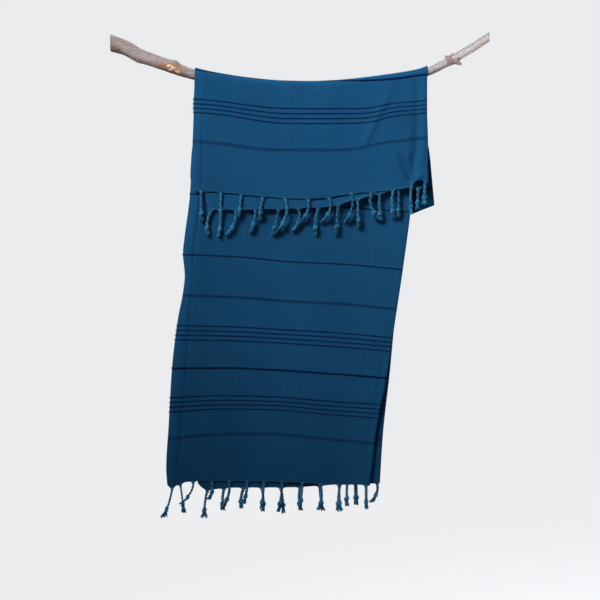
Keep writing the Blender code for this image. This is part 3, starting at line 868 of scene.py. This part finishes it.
def twist_cord(yarns, root, shape, look, rng, flare, lift, girth=1.0):
    """One cord: two plies twisted round each other, a knot and a loose tuft."""
    length, route = shape[2] * MM, partial(cord_route, root, *shape)
    tied = 1 - max(TUFT_SHARE, TUFT_LEAST / length)
    shares = np.linspace(-ROOT_SHARE, tied, CORD_STEPS)
    run = (shares + ROOT_SHARE) * length
    pitch = look.twist_pitch * rng.uniform(0.88, 1.12)
    turn = rng.uniform(0, 2 * math.pi) + 2 * math.pi * run / pitch
    # lift raises the tone as painted light, for cords that hang where the light is dim
    tone = lift + rng.uniform(0.35, 0.65)
    radius = look.ply_radius * rng.uniform(0.9, 1.08) * girth
    spread = radius * 1.12 + 0.8 * MM * np.exp(-run / (2.5 * MM))
    for side in (0, math.pi):
        offset = np.stack([np.cos(turn + side), np.sin(turn + side), 0 * turn], axis=-1)
        ply = route(shares) + offset * spread[:, None]
        yarns.add(ply, radius, PLY_SIDES, tone + 0.22 * math.cos(side))
    knot_length = rng.uniform(7.5, 9.5) * MM
    middle = route([tied + 0.45 * knot_length / length])[0]
    t = np.linspace(0, 1, KNOT_STEPS)
    angle = rng.uniform(0, 6) + 2 * math.pi * rng.uniform(2.1, 2.5) * t
    reach = look.knot_radius * girth * rng.uniform(0.85, 1.1)
    reach = reach * np.sin(np.pi * np.clip(t, 0.04, 0.96)) ** 0.35
    height = (0.5 - t) * knot_length + 1.5 * MM * np.sin(angle + 1)
    knot = middle + np.stack([reach * np.cos(angle), reach * np.sin(angle), height], axis=-1)
    yarns.add(knot, look.ply_radius * rng.uniform(1.1, 1.25), PLY_SIDES, tone + 0.2, (0, 0, 1))
    bow = np.linspace(0, 1, STRAND_STEPS)
    for _ in range(STRANDS):
        end = 1.03 - rng.uniform(0, 0.1)
        spine = route(mix(tied + 0.6 * knot_length / length, end, bow))
        direction = rng.uniform(0, 2 * math.pi)
        out = np.array([math.cos(direction), math.sin(direction), 0])
        least, most = rng.uniform(0.3, 2.0), rng.uniform(1.4, 4.2) + flare * rng.uniform(0, 5)
        reach = mix(least, most, bow**0.8) * MM * girth
        wander = np.array([rng.uniform(-1, 1), rng.uniform(-1, 1), 0]) * flare * 2.5 * MM
        strand = spine + out * reach[:, None] + wander * (bow * bow)[:, None]
        radii = np.linspace(0.9, 0.6, STRAND_STEPS) * MM
        yarns.add(strand, radii, 4, tone + rng.uniform(-0.15, 0.45))


def place_at_x(line, x):
    """Point of a line that runs along X, by its X."""
    line = line[np.argsort(line[:, 0])]
    return between_points(x, line[:, 0], line)


def twine_edge(yarns, line):
    """The cut end's last weft, as a twisted pair of threads along the hem."""
    run = run_along(line)
    fine = np.arange(0, run[-1], 1.4 * MM)
    path = between_points(fine, run, line)
    first, second = side_axes(path, (0, 0, 1))
    turn = 2 * math.pi * fine / (6 * MM)
    for side in (0, math.pi):
        offset = first * np.cos(turn + side)[:, None] + second * np.sin(turn + side)[:, None]
        yarns.add(path + offset * 0.34 * MM, 0.48 * MM, 5, 0.5, (0, 0, 1))


def gather_warp(yarns, line, x, root, rng):
    """Warp threads that run from the hem beside a cord into its root."""
    bow = np.linspace(0, 1, 5)[:, None]
    for side in (-5.6, -4.0, -2.6, 2.6, 4.0, 5.6):
        start_x = x + (side + rng.uniform(-0.7, 0.7)) * MM
        if not line[:, 0].min() < start_x < line[:, 0].max():
            continue
        start = place_at_x(line, start_x) + np.array([0, -0.3, 0.8]) * MM
        end = root + np.array([math.copysign(1.2, side), -1.2, rng.uniform(-7.5, -4)]) * MM
        path = mix(start, end, bow)
        path[:, 2] += 1.6 * MM * (bow * (1 - bow))[:, 0]
        yarns.add(path, np.linspace(0.3, 0.6, 5) * MM, 4, rng.uniform(0.25, 0.5))


def end_loops(yarns, points, near_end):
    """The dark weft that turns round each selvage at every woven line."""
    rng = random.Random(21)
    turn = np.linspace(-0.15, 1.15, 9)[:, None] * math.pi
    for rows in (slice(0, len(FLAP_SHARES)), slice(-len(DROP_SHARES), None)):
        for column, inner in ((0, 1), (-1, -2)):
            order = np.argsort(near_end[rows, column])
            distance = near_end[rows, column][order]
            edge, inside = points[rows, column][order], points[rows, inner][order]
            out = unit(edge - inside)
            for centre, width, _, strength in WOVEN_LINES:
                centre = centre * MM
                if strength < 0.7 or not distance[0] < centre < distance[-1]:
                    continue
                place, side = (between_points(centre, distance, line) for line in (edge, out))
                reach = rng.uniform(1.2, 1.9) * MM
                upright = np.array([0, 0, width / 2 * MM])
                path = place + side * reach * np.sin(turn) + upright * np.cos(turn)
                yarns.add(path, 0.5 * MM, 5, rng.uniform(0.3, 0.6), (0, 1, 0))


def make_fringe(name, hem, part, look, material, seed):
    """Both halves' cords and the twisted edge of one cut end."""
    rng = random.Random(seed)
    yarns = Yarns()
    # lift is painted light: the drop's cords are toned lighter to make up for the dimmer light at
    # the long end
    lift, least, most = (0.35, 0.15, 0.45) if part == "drop" else (0.05, 0.1, 0.4)
    for half, line in ((A, hem[:HALF_COLUMNS]), (B, hem[-HALF_COLUMNS:])):
        for x, *shape in CORDS[part][half]:
            flare = FRAYED.get((half, x), rng.uniform(least, most))
            root = place_at_x(line, x * MM)
            shape.append(rest_back(part, root, *shape[2:]))
            girth = THIN_GIRTH if part == "drop" and x < THIN_BEYOND else 1.0
            twist_cord(yarns, root, shape, look, rng, flare, lift, girth)
            gather_warp(yarns, line, x * MM, root, rng)
    if part == "drop":
        fold = hem[HALF_COLUMNS - 1 : 1 - HALF_COLUMNS]
        run = run_along(fold)
        for share, *shape in TUCK_CORDS:
            root = between_points(share * run[-1], run, fold)
            twist_cord(yarns, root, shape, look, rng, 0.3, lift)
    twine_edge(yarns, hem)
    return yarns.finish(name, material)


# ---- materials


def colour(values):
    return values if isinstance(values, Wire) else (*values, 1.0)


def feed(made, inputs):
    """Fills sockets of a shader node with values or with other nodes' outputs."""
    for socket, value in dict(inputs).items():
        if isinstance(value, Wire):
            made.id_data.links.new(value.socket, made.inputs[socket])
        else:
            made.inputs[socket].default_value = value


def node(tree, kind, inputs=(), output=0, **settings):
    """An output of a new shader node."""
    made = tree.nodes.new("ShaderNode" + kind)
    for name, value in settings.items():
        setattr(made, name, value)
    feed(made, inputs)
    return Wire(made.outputs[output])


def arithmetic(operation):
    return lambda wire, *others: wire.into("Math", *others, operation=operation)


class Wire:
    """An output of a shader node; what is done with it adds nodes to its tree."""

    __add__, __sub__, __mul__ = map(arithmetic, ("ADD", "SUBTRACT", "MULTIPLY"))
    __or__, __abs__, sine = map(arithmetic, ("MAXIMUM", "ABSOLUTE", "SINE"))

    def __init__(self, socket):
        self.socket = socket

    def into(self, kind, *others, output=0, **settings):
        """Output of a new node whose first inputs are this and the others."""
        inputs = enumerate((self, *others))
        return node(self.socket.id_data, kind, inputs, output, **settings)

    def vector(self, operation, *others, output=0):
        return self.into("VectorMath", *others, output=output, operation=operation)

    def axis(self, k):
        return self.into("SeparateXYZ", output=k)

    def ramp(self, low, high, to_low=0.0, to_high=1.0):
        """Soft step from to_low at low to to_high at high."""
        levels = (low, high, to_low, to_high)
        return self.into("MapRange", *levels, interpolation_type="SMOOTHSTEP")

    def grain(self, scale, detail, stretch=(1, 1, 1)):
        """Noise from 0 to 1 on a vector, stretched."""
        scales = [scale * share for share in stretch]
        mapped = node(self.socket.id_data, "Mapping", {0: self, 3: scales})
        inputs = {"Vector": mapped, "Scale": 1.0, "Detail": detail}
        return node(self.socket.id_data, "TexNoise", inputs)

    def pick(self, first, second):
        """The first colour where this is 0, and the second where it is 1."""
        inputs = {0: self, 6: colour(first), 7: colour(second)}
        return node(self.socket.id_data, "Mix", inputs, 2, data_type="RGBA")


def new_material(name):
    material = bpy.data.materials.new(name)
    material.use_nodes = True
    return material, material.node_tree, material.node_tree.nodes["Principled BSDF"]


def attribute(tree, name):
    return node(tree, "Attribute", output="Fac", attribute_name=name)


def relief(tree, height, strength, depth):
    return node(tree, "Bump", {"Height": height, "Strength": strength, "Distance": depth})


def finish_fabric(shader, base, normal, roughness, sheen, sheen_tint):
    inputs = {
        "Base Color": base,
        "Normal": normal,
        "Roughness": roughness,
        "Specular IOR Level": 0.03,
        "Sheen Weight": sheen,
        "Sheen Roughness": 0.45,
        "Sheen Tint": colour(sheen_tint),
    }
    feed(shader, inputs)


def woven_cotton(look):
    """Plain weave with thin dark lines near each end, denser selvages with a painted highlight
    along them, and uneven yarns.
    """
    material, tree, shader = new_material("woven_cotton")
    uv = node(tree, "UVMap", uv_map="cloth")
    place = attribute(tree, "from_end") + uv.grain(60, 2) * (1.6 * MM) - 0.8 * MM
    masks = []
    for centre, width, soft, strength in WOVEN_LINES:
        low, high = (width - soft) / 2 * MM, (width + soft) / 2 * MM
        masks.append(abs(place - centre * MM).ramp(low, high, strength, 0.0))
    slub = uv.grain(1, 3, (25, 500, 1))
    lines = reduce(Wire.__or__, masks) * slub.ramp(0.2, 0.6, 0.78, 1.0)

    warp_streak = uv.grain(1, 5, (95, 2.5, 1))
    weft_streak = uv.grain(1, 3, (6, 420, 1))
    patch, fuzz = uv.grain(9, 3), uv.grain(900, 2)
    tone = warp_streak * 0.22 + weft_streak * 0.2 + patch * 0.22 + fuzz * 0.3 + 0.53
    shades = {0: 1.0, 6: colour(look.ground), 7: tone}
    ground = node(tree, "Mix", shades, 2, data_type="RGBA", blend_type="MULTIPLY")
    edge = attribute(tree, "from_selvage")
    # the narrow border is the denser selvage; the wider band is a painted highlight where the bent
    # selvage catches the light
    border = edge.ramp(3 * MM, 5 * MM, 0.35, 0.0)
    selvage = border | edge.ramp(14 * MM, 19 * MM, 0.2, 0.0)
    ground = selvage.pick(ground, [min(1, c * 1.5) for c in look.ground])

    turn = 2 * math.pi / look.yarn_pitch
    warp, weft = (uv.axis(0) * turn).sine(), (uv.axis(1) * (turn * 0.85)).sine()
    height = warp * weft * 0.3 + weft_streak * 0.8 + warp_streak * 0.5 + lines * 1.1
    normal = relief(tree, height, 0.5, 0.25 * MM)
    base = lines.pick(ground, look.line)
    finish_fabric(shader, base, normal, 0.95, 0.03, (0.2, 0.6, 0.95))
    return material


def twisted_cotton(name, base_tint):
    """Cord yarn, with the fine slanting fibres of its plies."""
    material, tree, shader = new_material(name)
    uv = node(tree, "UVMap", uv_map="yarn")
    slant = uv.axis(0) + uv.axis(1) * 0.55
    fibres = (slant * (2 * math.pi / (0.62 * MM))).sine()
    fuzz = node(tree, "TexCoord", output="Object").grain(1400, 2)
    shade = attribute(tree, "tone") * 0.9 + fuzz * 0.5 + fibres * 0.07
    dark, light = ([min(1, c * share) for c in base_tint] for share in (0.45, 1.75))
    base = shade.ramp(0.3, 1.15).pick(dark, light)
    normal = relief(tree, fibres + fuzz, 0.5, 0.2 * MM)
    finish_fabric(shader, base, normal, 0.85, 0.1, (0.4, 0.8, 1.0))
    return material


def weathered_bark(look):
    """Mauve-grey bark that pales along the branch, with fine specks, a torn scar and a knot."""
    material, tree, shader = new_material("weathered_bark")
    place = node(tree, "TexCoord", output="Object")
    along, facing = place.axis(0), attribute(tree, "facing_up")
    streak = place.grain(1, 5, (40, 190, 190))
    blotch, speck, fine = place.grain(70, 4), place.grain(520, 3), place.grain(1300, 2)
    rugged = along.ramp(-0.12, 0.22, 0.6, 0.22)
    base = along.ramp(-0.12, 0.22).pick(look.dark_bark, look.pale_bark)
    layers = (
        (facing.ramp(-0.9, -0.1, 0.5, 0.0), (0.5, 0.36, 0.3)),  # painted warm bounce light on the underside
        (along.ramp(-0.4, -0.34, 0.6, 0.0), (0.27, 0.16, 0.12)),  # the brown left end
        (streak.ramp(0.45, 0.72) * rugged, (0.17, 0.115, 0.11)),  # furrows
        (blotch.ramp(0.5, 0.75, 0.0, 0.5), (0.52, 0.47, 0.47)),  # pale blotches
        (blotch.ramp(0.28, 0.45, 0.5, 0.0), (0.27, 0.17, 0.13)),  # brown blotches
        (speck.ramp(0.5, 0.66) * rugged, (0.2, 0.16, 0.16)),  # dark specks
        (fine.ramp(0.5, 0.72, 0.0, 0.3), (0.62, 0.58, 0.57)),  # pale specks
        (facing.ramp(-0.1, 0.9) * along.ramp(0.25, 0.4, 0.55, 0.8), (0.26, 0.24, 0.24)),  # painted shade that darkens the top side, more towards the thin end
    )
    for amount, layer in layers:
        base = amount.pick(base, layer)

    noisy = {"Vector": place, "Scale": 230.0, "Detail": 4.0}
    torn = node(tree, "TexNoise", noisy, 1).vector("SUBTRACT", (0.5, 0.5, 0.5))

    def spot(centre, radius, soft, ragged=14, stretch=1.0):
        """1 within a torn-edged spot and 0 outside it; `ragged` is how far its edge wanders."""
        wander = torn.vector("MULTIPLY", [ragged * MM] * 3)
        moved = place.vector("ADD", wander).vector("SUBTRACT", [c * MM for c in centre])
        away = moved.vector("MULTIPLY", (1 / stretch, 1, 1)).vector("LENGTH", output="Value")
        return away.ramp(radius * MM, (radius + soft) * MM, 1.0, 0.0)

    rust = spot((-270, -11, 37), 11, 8, 22, 1.5) | spot((-288, -9, 47), 3, 6, 22, 2.2)
    rust = rust | spot((-250, -8, 27), 5, 6, 22, 1.5) * 0.7
    chips = ((-275, -12, 45, 2.2), (-267, -12, 41, 2.4), (-273, -12, 37, 1.6), (-258, -11, 34, 2.6))
    bare = reduce(Wire.__or__, [spot(chip[:3], chip[3], 1.6, 11, 1.7) for chip in chips])
    knot = spot((317, -5, 58), 8, 6, 12) | spot((333, -5, 53), 6, 5, 12, 1.4)
    cut_face = place.grain(420, 2).pick((0.62, 0.46, 0.3), (0.4, 0.27, 0.16))
    marks = (
        (rust * 0.9, (0.4, 0.185, 0.09)),
        (bare, look.bare_wood),
        (knot * 0.8, (0.2, 0.13, 0.115)),
        (spot((322, -9, 63), 1.4, 1.8, 6), (0.62, 0.55, 0.52)),
        (spot((341, -5, 48), 2.5, 2, 5), (0.5, 0.46, 0.45)),
        (abs(along).ramp(0.3985, 0.3989), cut_face),
    )
    for amount, mark in marks:
        base = amount.pick(base, mark)
    height = streak * 1.2 + speck * 0.5 - bare * 0.6
    inputs = {
        "Base Color": base,
        "Normal": relief(tree, height, rugged, 0.8 * MM),
        "Roughness": 0.88,
        "Specular IOR Level": 0.25,
    }
    feed(shader, inputs)
    return material


# ---- operators


def deselect():
    if bpy.context.object and bpy.context.object.mode != "OBJECT":
        bpy.ops.object.mode_set(mode="OBJECT")
    bpy.ops.object.select_all(action="DESELECT")


def apply_modifier(piece, kind, **settings):
    modifier = piece.modifiers.new(kind.lower(), kind)
    for name, value in settings.items():
        setattr(modifier, name, value)
    bpy.ops.object.modifier_apply(modifier=modifier.name)


def vectors(items, name):
    """Vectors of a mesh's vertices, one to a row."""
    values = np.empty(len(items) * 3, np.float32)
    items.foreach_get(name, values)
    return values.reshape(-1, 3).astype(float)


class TOWEL_OT_cloth(bpy.types.Operator):
    """Weaves the towel and hangs it over the branch"""

    bl_idname = "towel.cloth"
    bl_label = "Hang the cloth"

    def execute(self, context):
        look = context.scene.towel_look
        points, near_end, length_run = cloth_grid()
        if not np.isfinite(points).all():
            raise RuntimeError("the cloth has a point that isn't a number")
        cloth = thick_sheet("hammam_towel", points, look.thickness, woven_cotton(look))
        run = run_along(points, 1)
        width = float(run[:, -1].mean())
        across = run / run[:, -1:] * width
        u, v, end = (np.tile(values.ravel(), 2) for values in (across, length_run, near_end))
        lay_uv(cloth.data, "cloth", u, v)
        point_values(cloth.data, "from_end", end)
        point_values(cloth.data, "from_selvage", np.minimum(u, width - u))
        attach(cloth, "root")
        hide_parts("towel_cloth")
        context.scene["towel_flat"] = (width, float(length_run[-1].mean()))
        return {"FINISHED"}


class TOWEL_OT_fringes(bpy.types.Operator):
    """Twists and knots the cords of both cut ends"""

    bl_idname = "towel.fringes"
    bl_label = "Knot the fringes"

    def execute(self, context):
        look = context.scene.towel_look
        points, near_end = cloth_grid()[:2]
        material = twisted_cotton("twisted_cotton", look.cord)
        ends = (
            ("knotted_fringe_front", points[0], "flap", "fringe_front_end", 3),
            ("knotted_fringe_long", points[-1], "drop", "fringe_long_end", 8),
        )
        for name, hem, part, solid, seed in ends:
            fringe = make_fringe(name, hem, part, look, material, seed)
            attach(fringe, "root")
            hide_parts(solid)
        yarns = Yarns()
        end_loops(yarns, points, near_end)
        loops = yarns.finish("line_end_loops", twisted_cotton("dark_weft", look.line))
        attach(loops, "root")
        return {"FINISHED"}


class TOWEL_OT_branch(bpy.types.Operator):
    """Grows the branch with its bark, snapped twigs and sawn ends"""

    bl_idname = "towel.branch"
    bl_label = "Grow the branch"

    def execute(self, context):
        look = context.scene.branch_look
        deselect()
        end, bevel = BRANCH[-1][0] * MM, 10 * MM
        xs = np.linspace(-end, end, BRANCH_STEPS)
        axis = np.stack([xs, branch_y(xs), branch_z(xs)], axis=-1)
        # one point more past each end, which the saw cuts off
        axis = np.concatenate([[axis[0] * 2 - axis[3]], axis, [axis[-1] * 2 - axis[-4]]])
        bpy.ops.curve.primitive_bezier_curve_add(location=(0, 0, 0))
        stem = context.object
        stem.name = "grown_branch"
        stem.data.splines.clear()
        spline = stem.data.splines.new("POLY")
        spline.points.add(len(axis) - 1)
        for point, place, radius in zip(spline.points, axis, branch_r(axis[:, 0])):
            point.co = (*place, 1)
            point.radius = radius / bevel
        stem.data.dimensions = "3D"
        stem.data.bevel_depth = bevel
        stem.data.bevel_resolution = 8
        stem.data.use_fill_caps = True
        bpy.ops.object.convert(target="MESH")
        twigs = []
        for x0, y0, z0, r0, x1, y1, z1, r1 in SPURS:
            root, tip = Vector((x0, y0, z0)) * MM, Vector((x1, y1, z1)) * MM
            bpy.ops.mesh.primitive_cone_add(
                vertices=16,
                radius1=r0 * MM,
                radius2=r1 * MM,
                depth=(tip - root).length,
                location=(root + tip) / 2,
                rotation=(tip - root).to_track_quat("Z", "Y").to_euler(),
            )
            twigs.append(context.object)
        deselect()
        for piece in (*twigs, stem):
            piece.select_set(True)
        context.view_layer.objects.active = stem
        bpy.ops.object.join()
        bpy.ops.object.transform_apply(location=True, rotation=True, scale=True)
        apply_modifier(stem, "REMESH", mode="VOXEL", voxel_size=VOXEL)
        apply_modifier(stem, "SMOOTH", factor=0.5, iterations=2)
        self.raise_bark(stem.data, look)
        bpy.ops.object.mode_set(mode="EDIT")
        for side in (-1, 1):
            plane = {"plane_co": (side * end, 0, 0), "plane_no": (side, 0, 0)}
            bpy.ops.mesh.select_all(action="SELECT")
            bpy.ops.mesh.bisect(**plane, use_fill=True, clear_outer=True)
        bpy.ops.object.mode_set(mode="OBJECT")
        stem.data.materials.clear()
        stem.data.materials.append(weathered_bark(look))
        deselect()
        stem.select_set(True)
        bpy.ops.object.shade_smooth_by_angle(angle=math.radians(50))
        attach(stem, "root")
        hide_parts("branch")
        return {"FINISHED"}

    @staticmethod
    def raise_bark(mesh, look):
        """Moves the surface along its normals into ridges, lumps and knots."""
        places = vectors(mesh.vertices, "co")
        normals = vectors(mesh.vertex_normals, "vector")
        x, y, z = places.T
        spoke = unit(stacked(0 * x, y - branch_y(x), z - branch_z(x)))
        shift = 0 * x
        for bump_x, half_length, direction, height in BUMPS:
            angle = math.radians(direction)
            facing = np.maximum(spoke @ np.array([0, -math.cos(angle), math.sin(angle)]), 0) ** 2
            shift += height * MM * bell(x - bump_x * MM, half_length * MM) * facing
        rough = np.empty(len(x))
        for k, (px, py, pz) in enumerate(places):
            furrow = noise.noise(Vector((px * 55, py * 330, pz * 330)))
            lump = noise.noise(Vector((px * 60 + 9, py * 60, pz * 60)))
            crumb = noise.noise(Vector((px * 420, py * 420, pz * 420 + 5)))
            rough[k] = 0.9 - 2.2 * abs(furrow) + 1.6 * lump + 0.7 * crumb
        # the bark is smooth under the cloth, and less rough at the thin end
        uncovered = np.clip((np.abs(x - COVERED_MIDDLE) - COVERED_HALF) / (20 * MM), 0, 1)
        shift += rough * look.relief * mix(0.12, np.where(x < 0, 1.0, 0.55), uncovered)
        point_values(mesh, "facing_up", spoke[:, 2])
        mesh.vertices.foreach_set("co", (places + normals * shift[:, None]).ravel())
        mesh.update()


class TOWEL_OT_stage(bpy.types.Operator):
    """Sets the floor, the light and the camera"""

    bl_idname = "towel.stage"
    bl_label = "Set the stage"

    def execute(self, context):
        look = context.scene.stage_look
        deselect()
        self.add_surround(look)
        for name, place, size, power, share, spread, target in LAMPS:
            aim = (Vector(target) - Vector(place)).to_track_quat("-Z", "Y").to_euler()
            bpy.ops.object.light_add(type="AREA", location=place, rotation=aim)
            lamp = context.object
            lamp.name = name
            lamp.data.shape = "SQUARE"
            lamp.data.size = size
            lamp.data.energy = getattr(look, power) * share
            lamp.data.color = FILL_TINT if name == "fill_light" else (1, 1, 1)
            lamp.data.spread = math.radians(spread)
            lamp.visible_camera = False
        world = context.scene.world or bpy.data.worlds.new("studio_air")
        context.scene.world = world
        world.use_nodes = True
        sky = world.node_tree.nodes["Background"]
        feed(sky, {"Color": (0.93, 0.96, 1.0, 1), "Strength": look.sky})
        context.scene.view_settings.view_transform = "Standard"
        place = (0, -look.distance, look.camera_level)
        bpy.ops.object.camera_add(location=place, rotation=(math.pi / 2, 0, 0))
        camera = context.object
        camera.name = "camera"
        camera.data.lens = look.lens
        camera.data.sensor_width = 36
        camera.data.dof.use_dof = False
        context.scene.camera = camera
        return {"FINISHED"}

    @staticmethod
    def add_surround(look):
        """A round floor that curves up into a wall."""
        angles = np.linspace(0, math.pi / 2, COVE_STEPS + 1)
        radii = look.surround - COVE * (1 - np.sin(angles))
        heights = COVE * (1 - np.cos(angles))
        radii, heights = np.append(radii, radii[-1]), np.append(heights, WALL_HEIGHT)
        turn = np.linspace(2 * math.pi, 0, SURROUND_SIDES, endpoint=False)
        rings = stacked(np.cos(turn), np.sin(turn), 0) * radii[:, None, None]
        rings[..., 2] = heights[:, None] + look.floor_level
        index, walls = stack_rings(rings)
        material, _, shader = new_material("pale_paint")
        inputs = {
            "Base Color": colour(look.backdrop),
            "Roughness": 0.95,
            "Specular IOR Level": 0.1,
            "Emission Color": (0.97, 0.98, 1.0, 1),
            "Emission Strength": 0.84,
        }
        feed(shader, inputs)
        faces = [index[0, ::-1].tolist(), *walls]
        surround = make_object("floor_and_surround", rings.reshape(-1, 3), faces, material, 180)
        surround.visible_diffuse = False


class TOWEL_PT_panel(bpy.types.Panel):
    """Lists the steps in order, with their sizes and colours"""

    bl_idname = "TOWEL_PT_panel"
    bl_label = "Hammam towel"
    bl_space_type = "VIEW_3D"
    bl_region_type = "UI"
    bl_category = "Towel"

    def draw(self, context):
        looks = ("branch_look", "towel_look", None, "stage_look")
        for operator, look in zip(OPERATORS, looks):
            box = self.layout.box()
            box.operator(operator.bl_idname)
            names = GROUPS[look].__annotations__ if look else ()
            for name in names:
                box.prop(getattr(context.scene, look), name)


GROUPS = {"towel_look": TowelLook, "branch_look": BranchLook, "stage_look": StageLook}
OPERATORS = (TOWEL_OT_branch, TOWEL_OT_cloth, TOWEL_OT_fringes, TOWEL_OT_stage)
CLASSES = (*GROUPS.values(), *OPERATORS, TOWEL_PT_panel)


def register():
    for cls in CLASSES:
        bpy.utils.register_class(cls)
    for name, group in GROUPS.items():
        setattr(bpy.types.Scene, name, PointerProperty(type=group))


def unregister():
    for name in GROUPS:
        delattr(bpy.types.Scene, name)
    for cls in reversed(CLASSES):
        bpy.utils.unregister_class(cls)


def main():
    register()
    bpy.ops.towel.branch()
    bpy.ops.towel.cloth()
    bpy.ops.towel.fringes()
    bpy.ops.towel.stage()


if __name__ == "__main__":
    main()
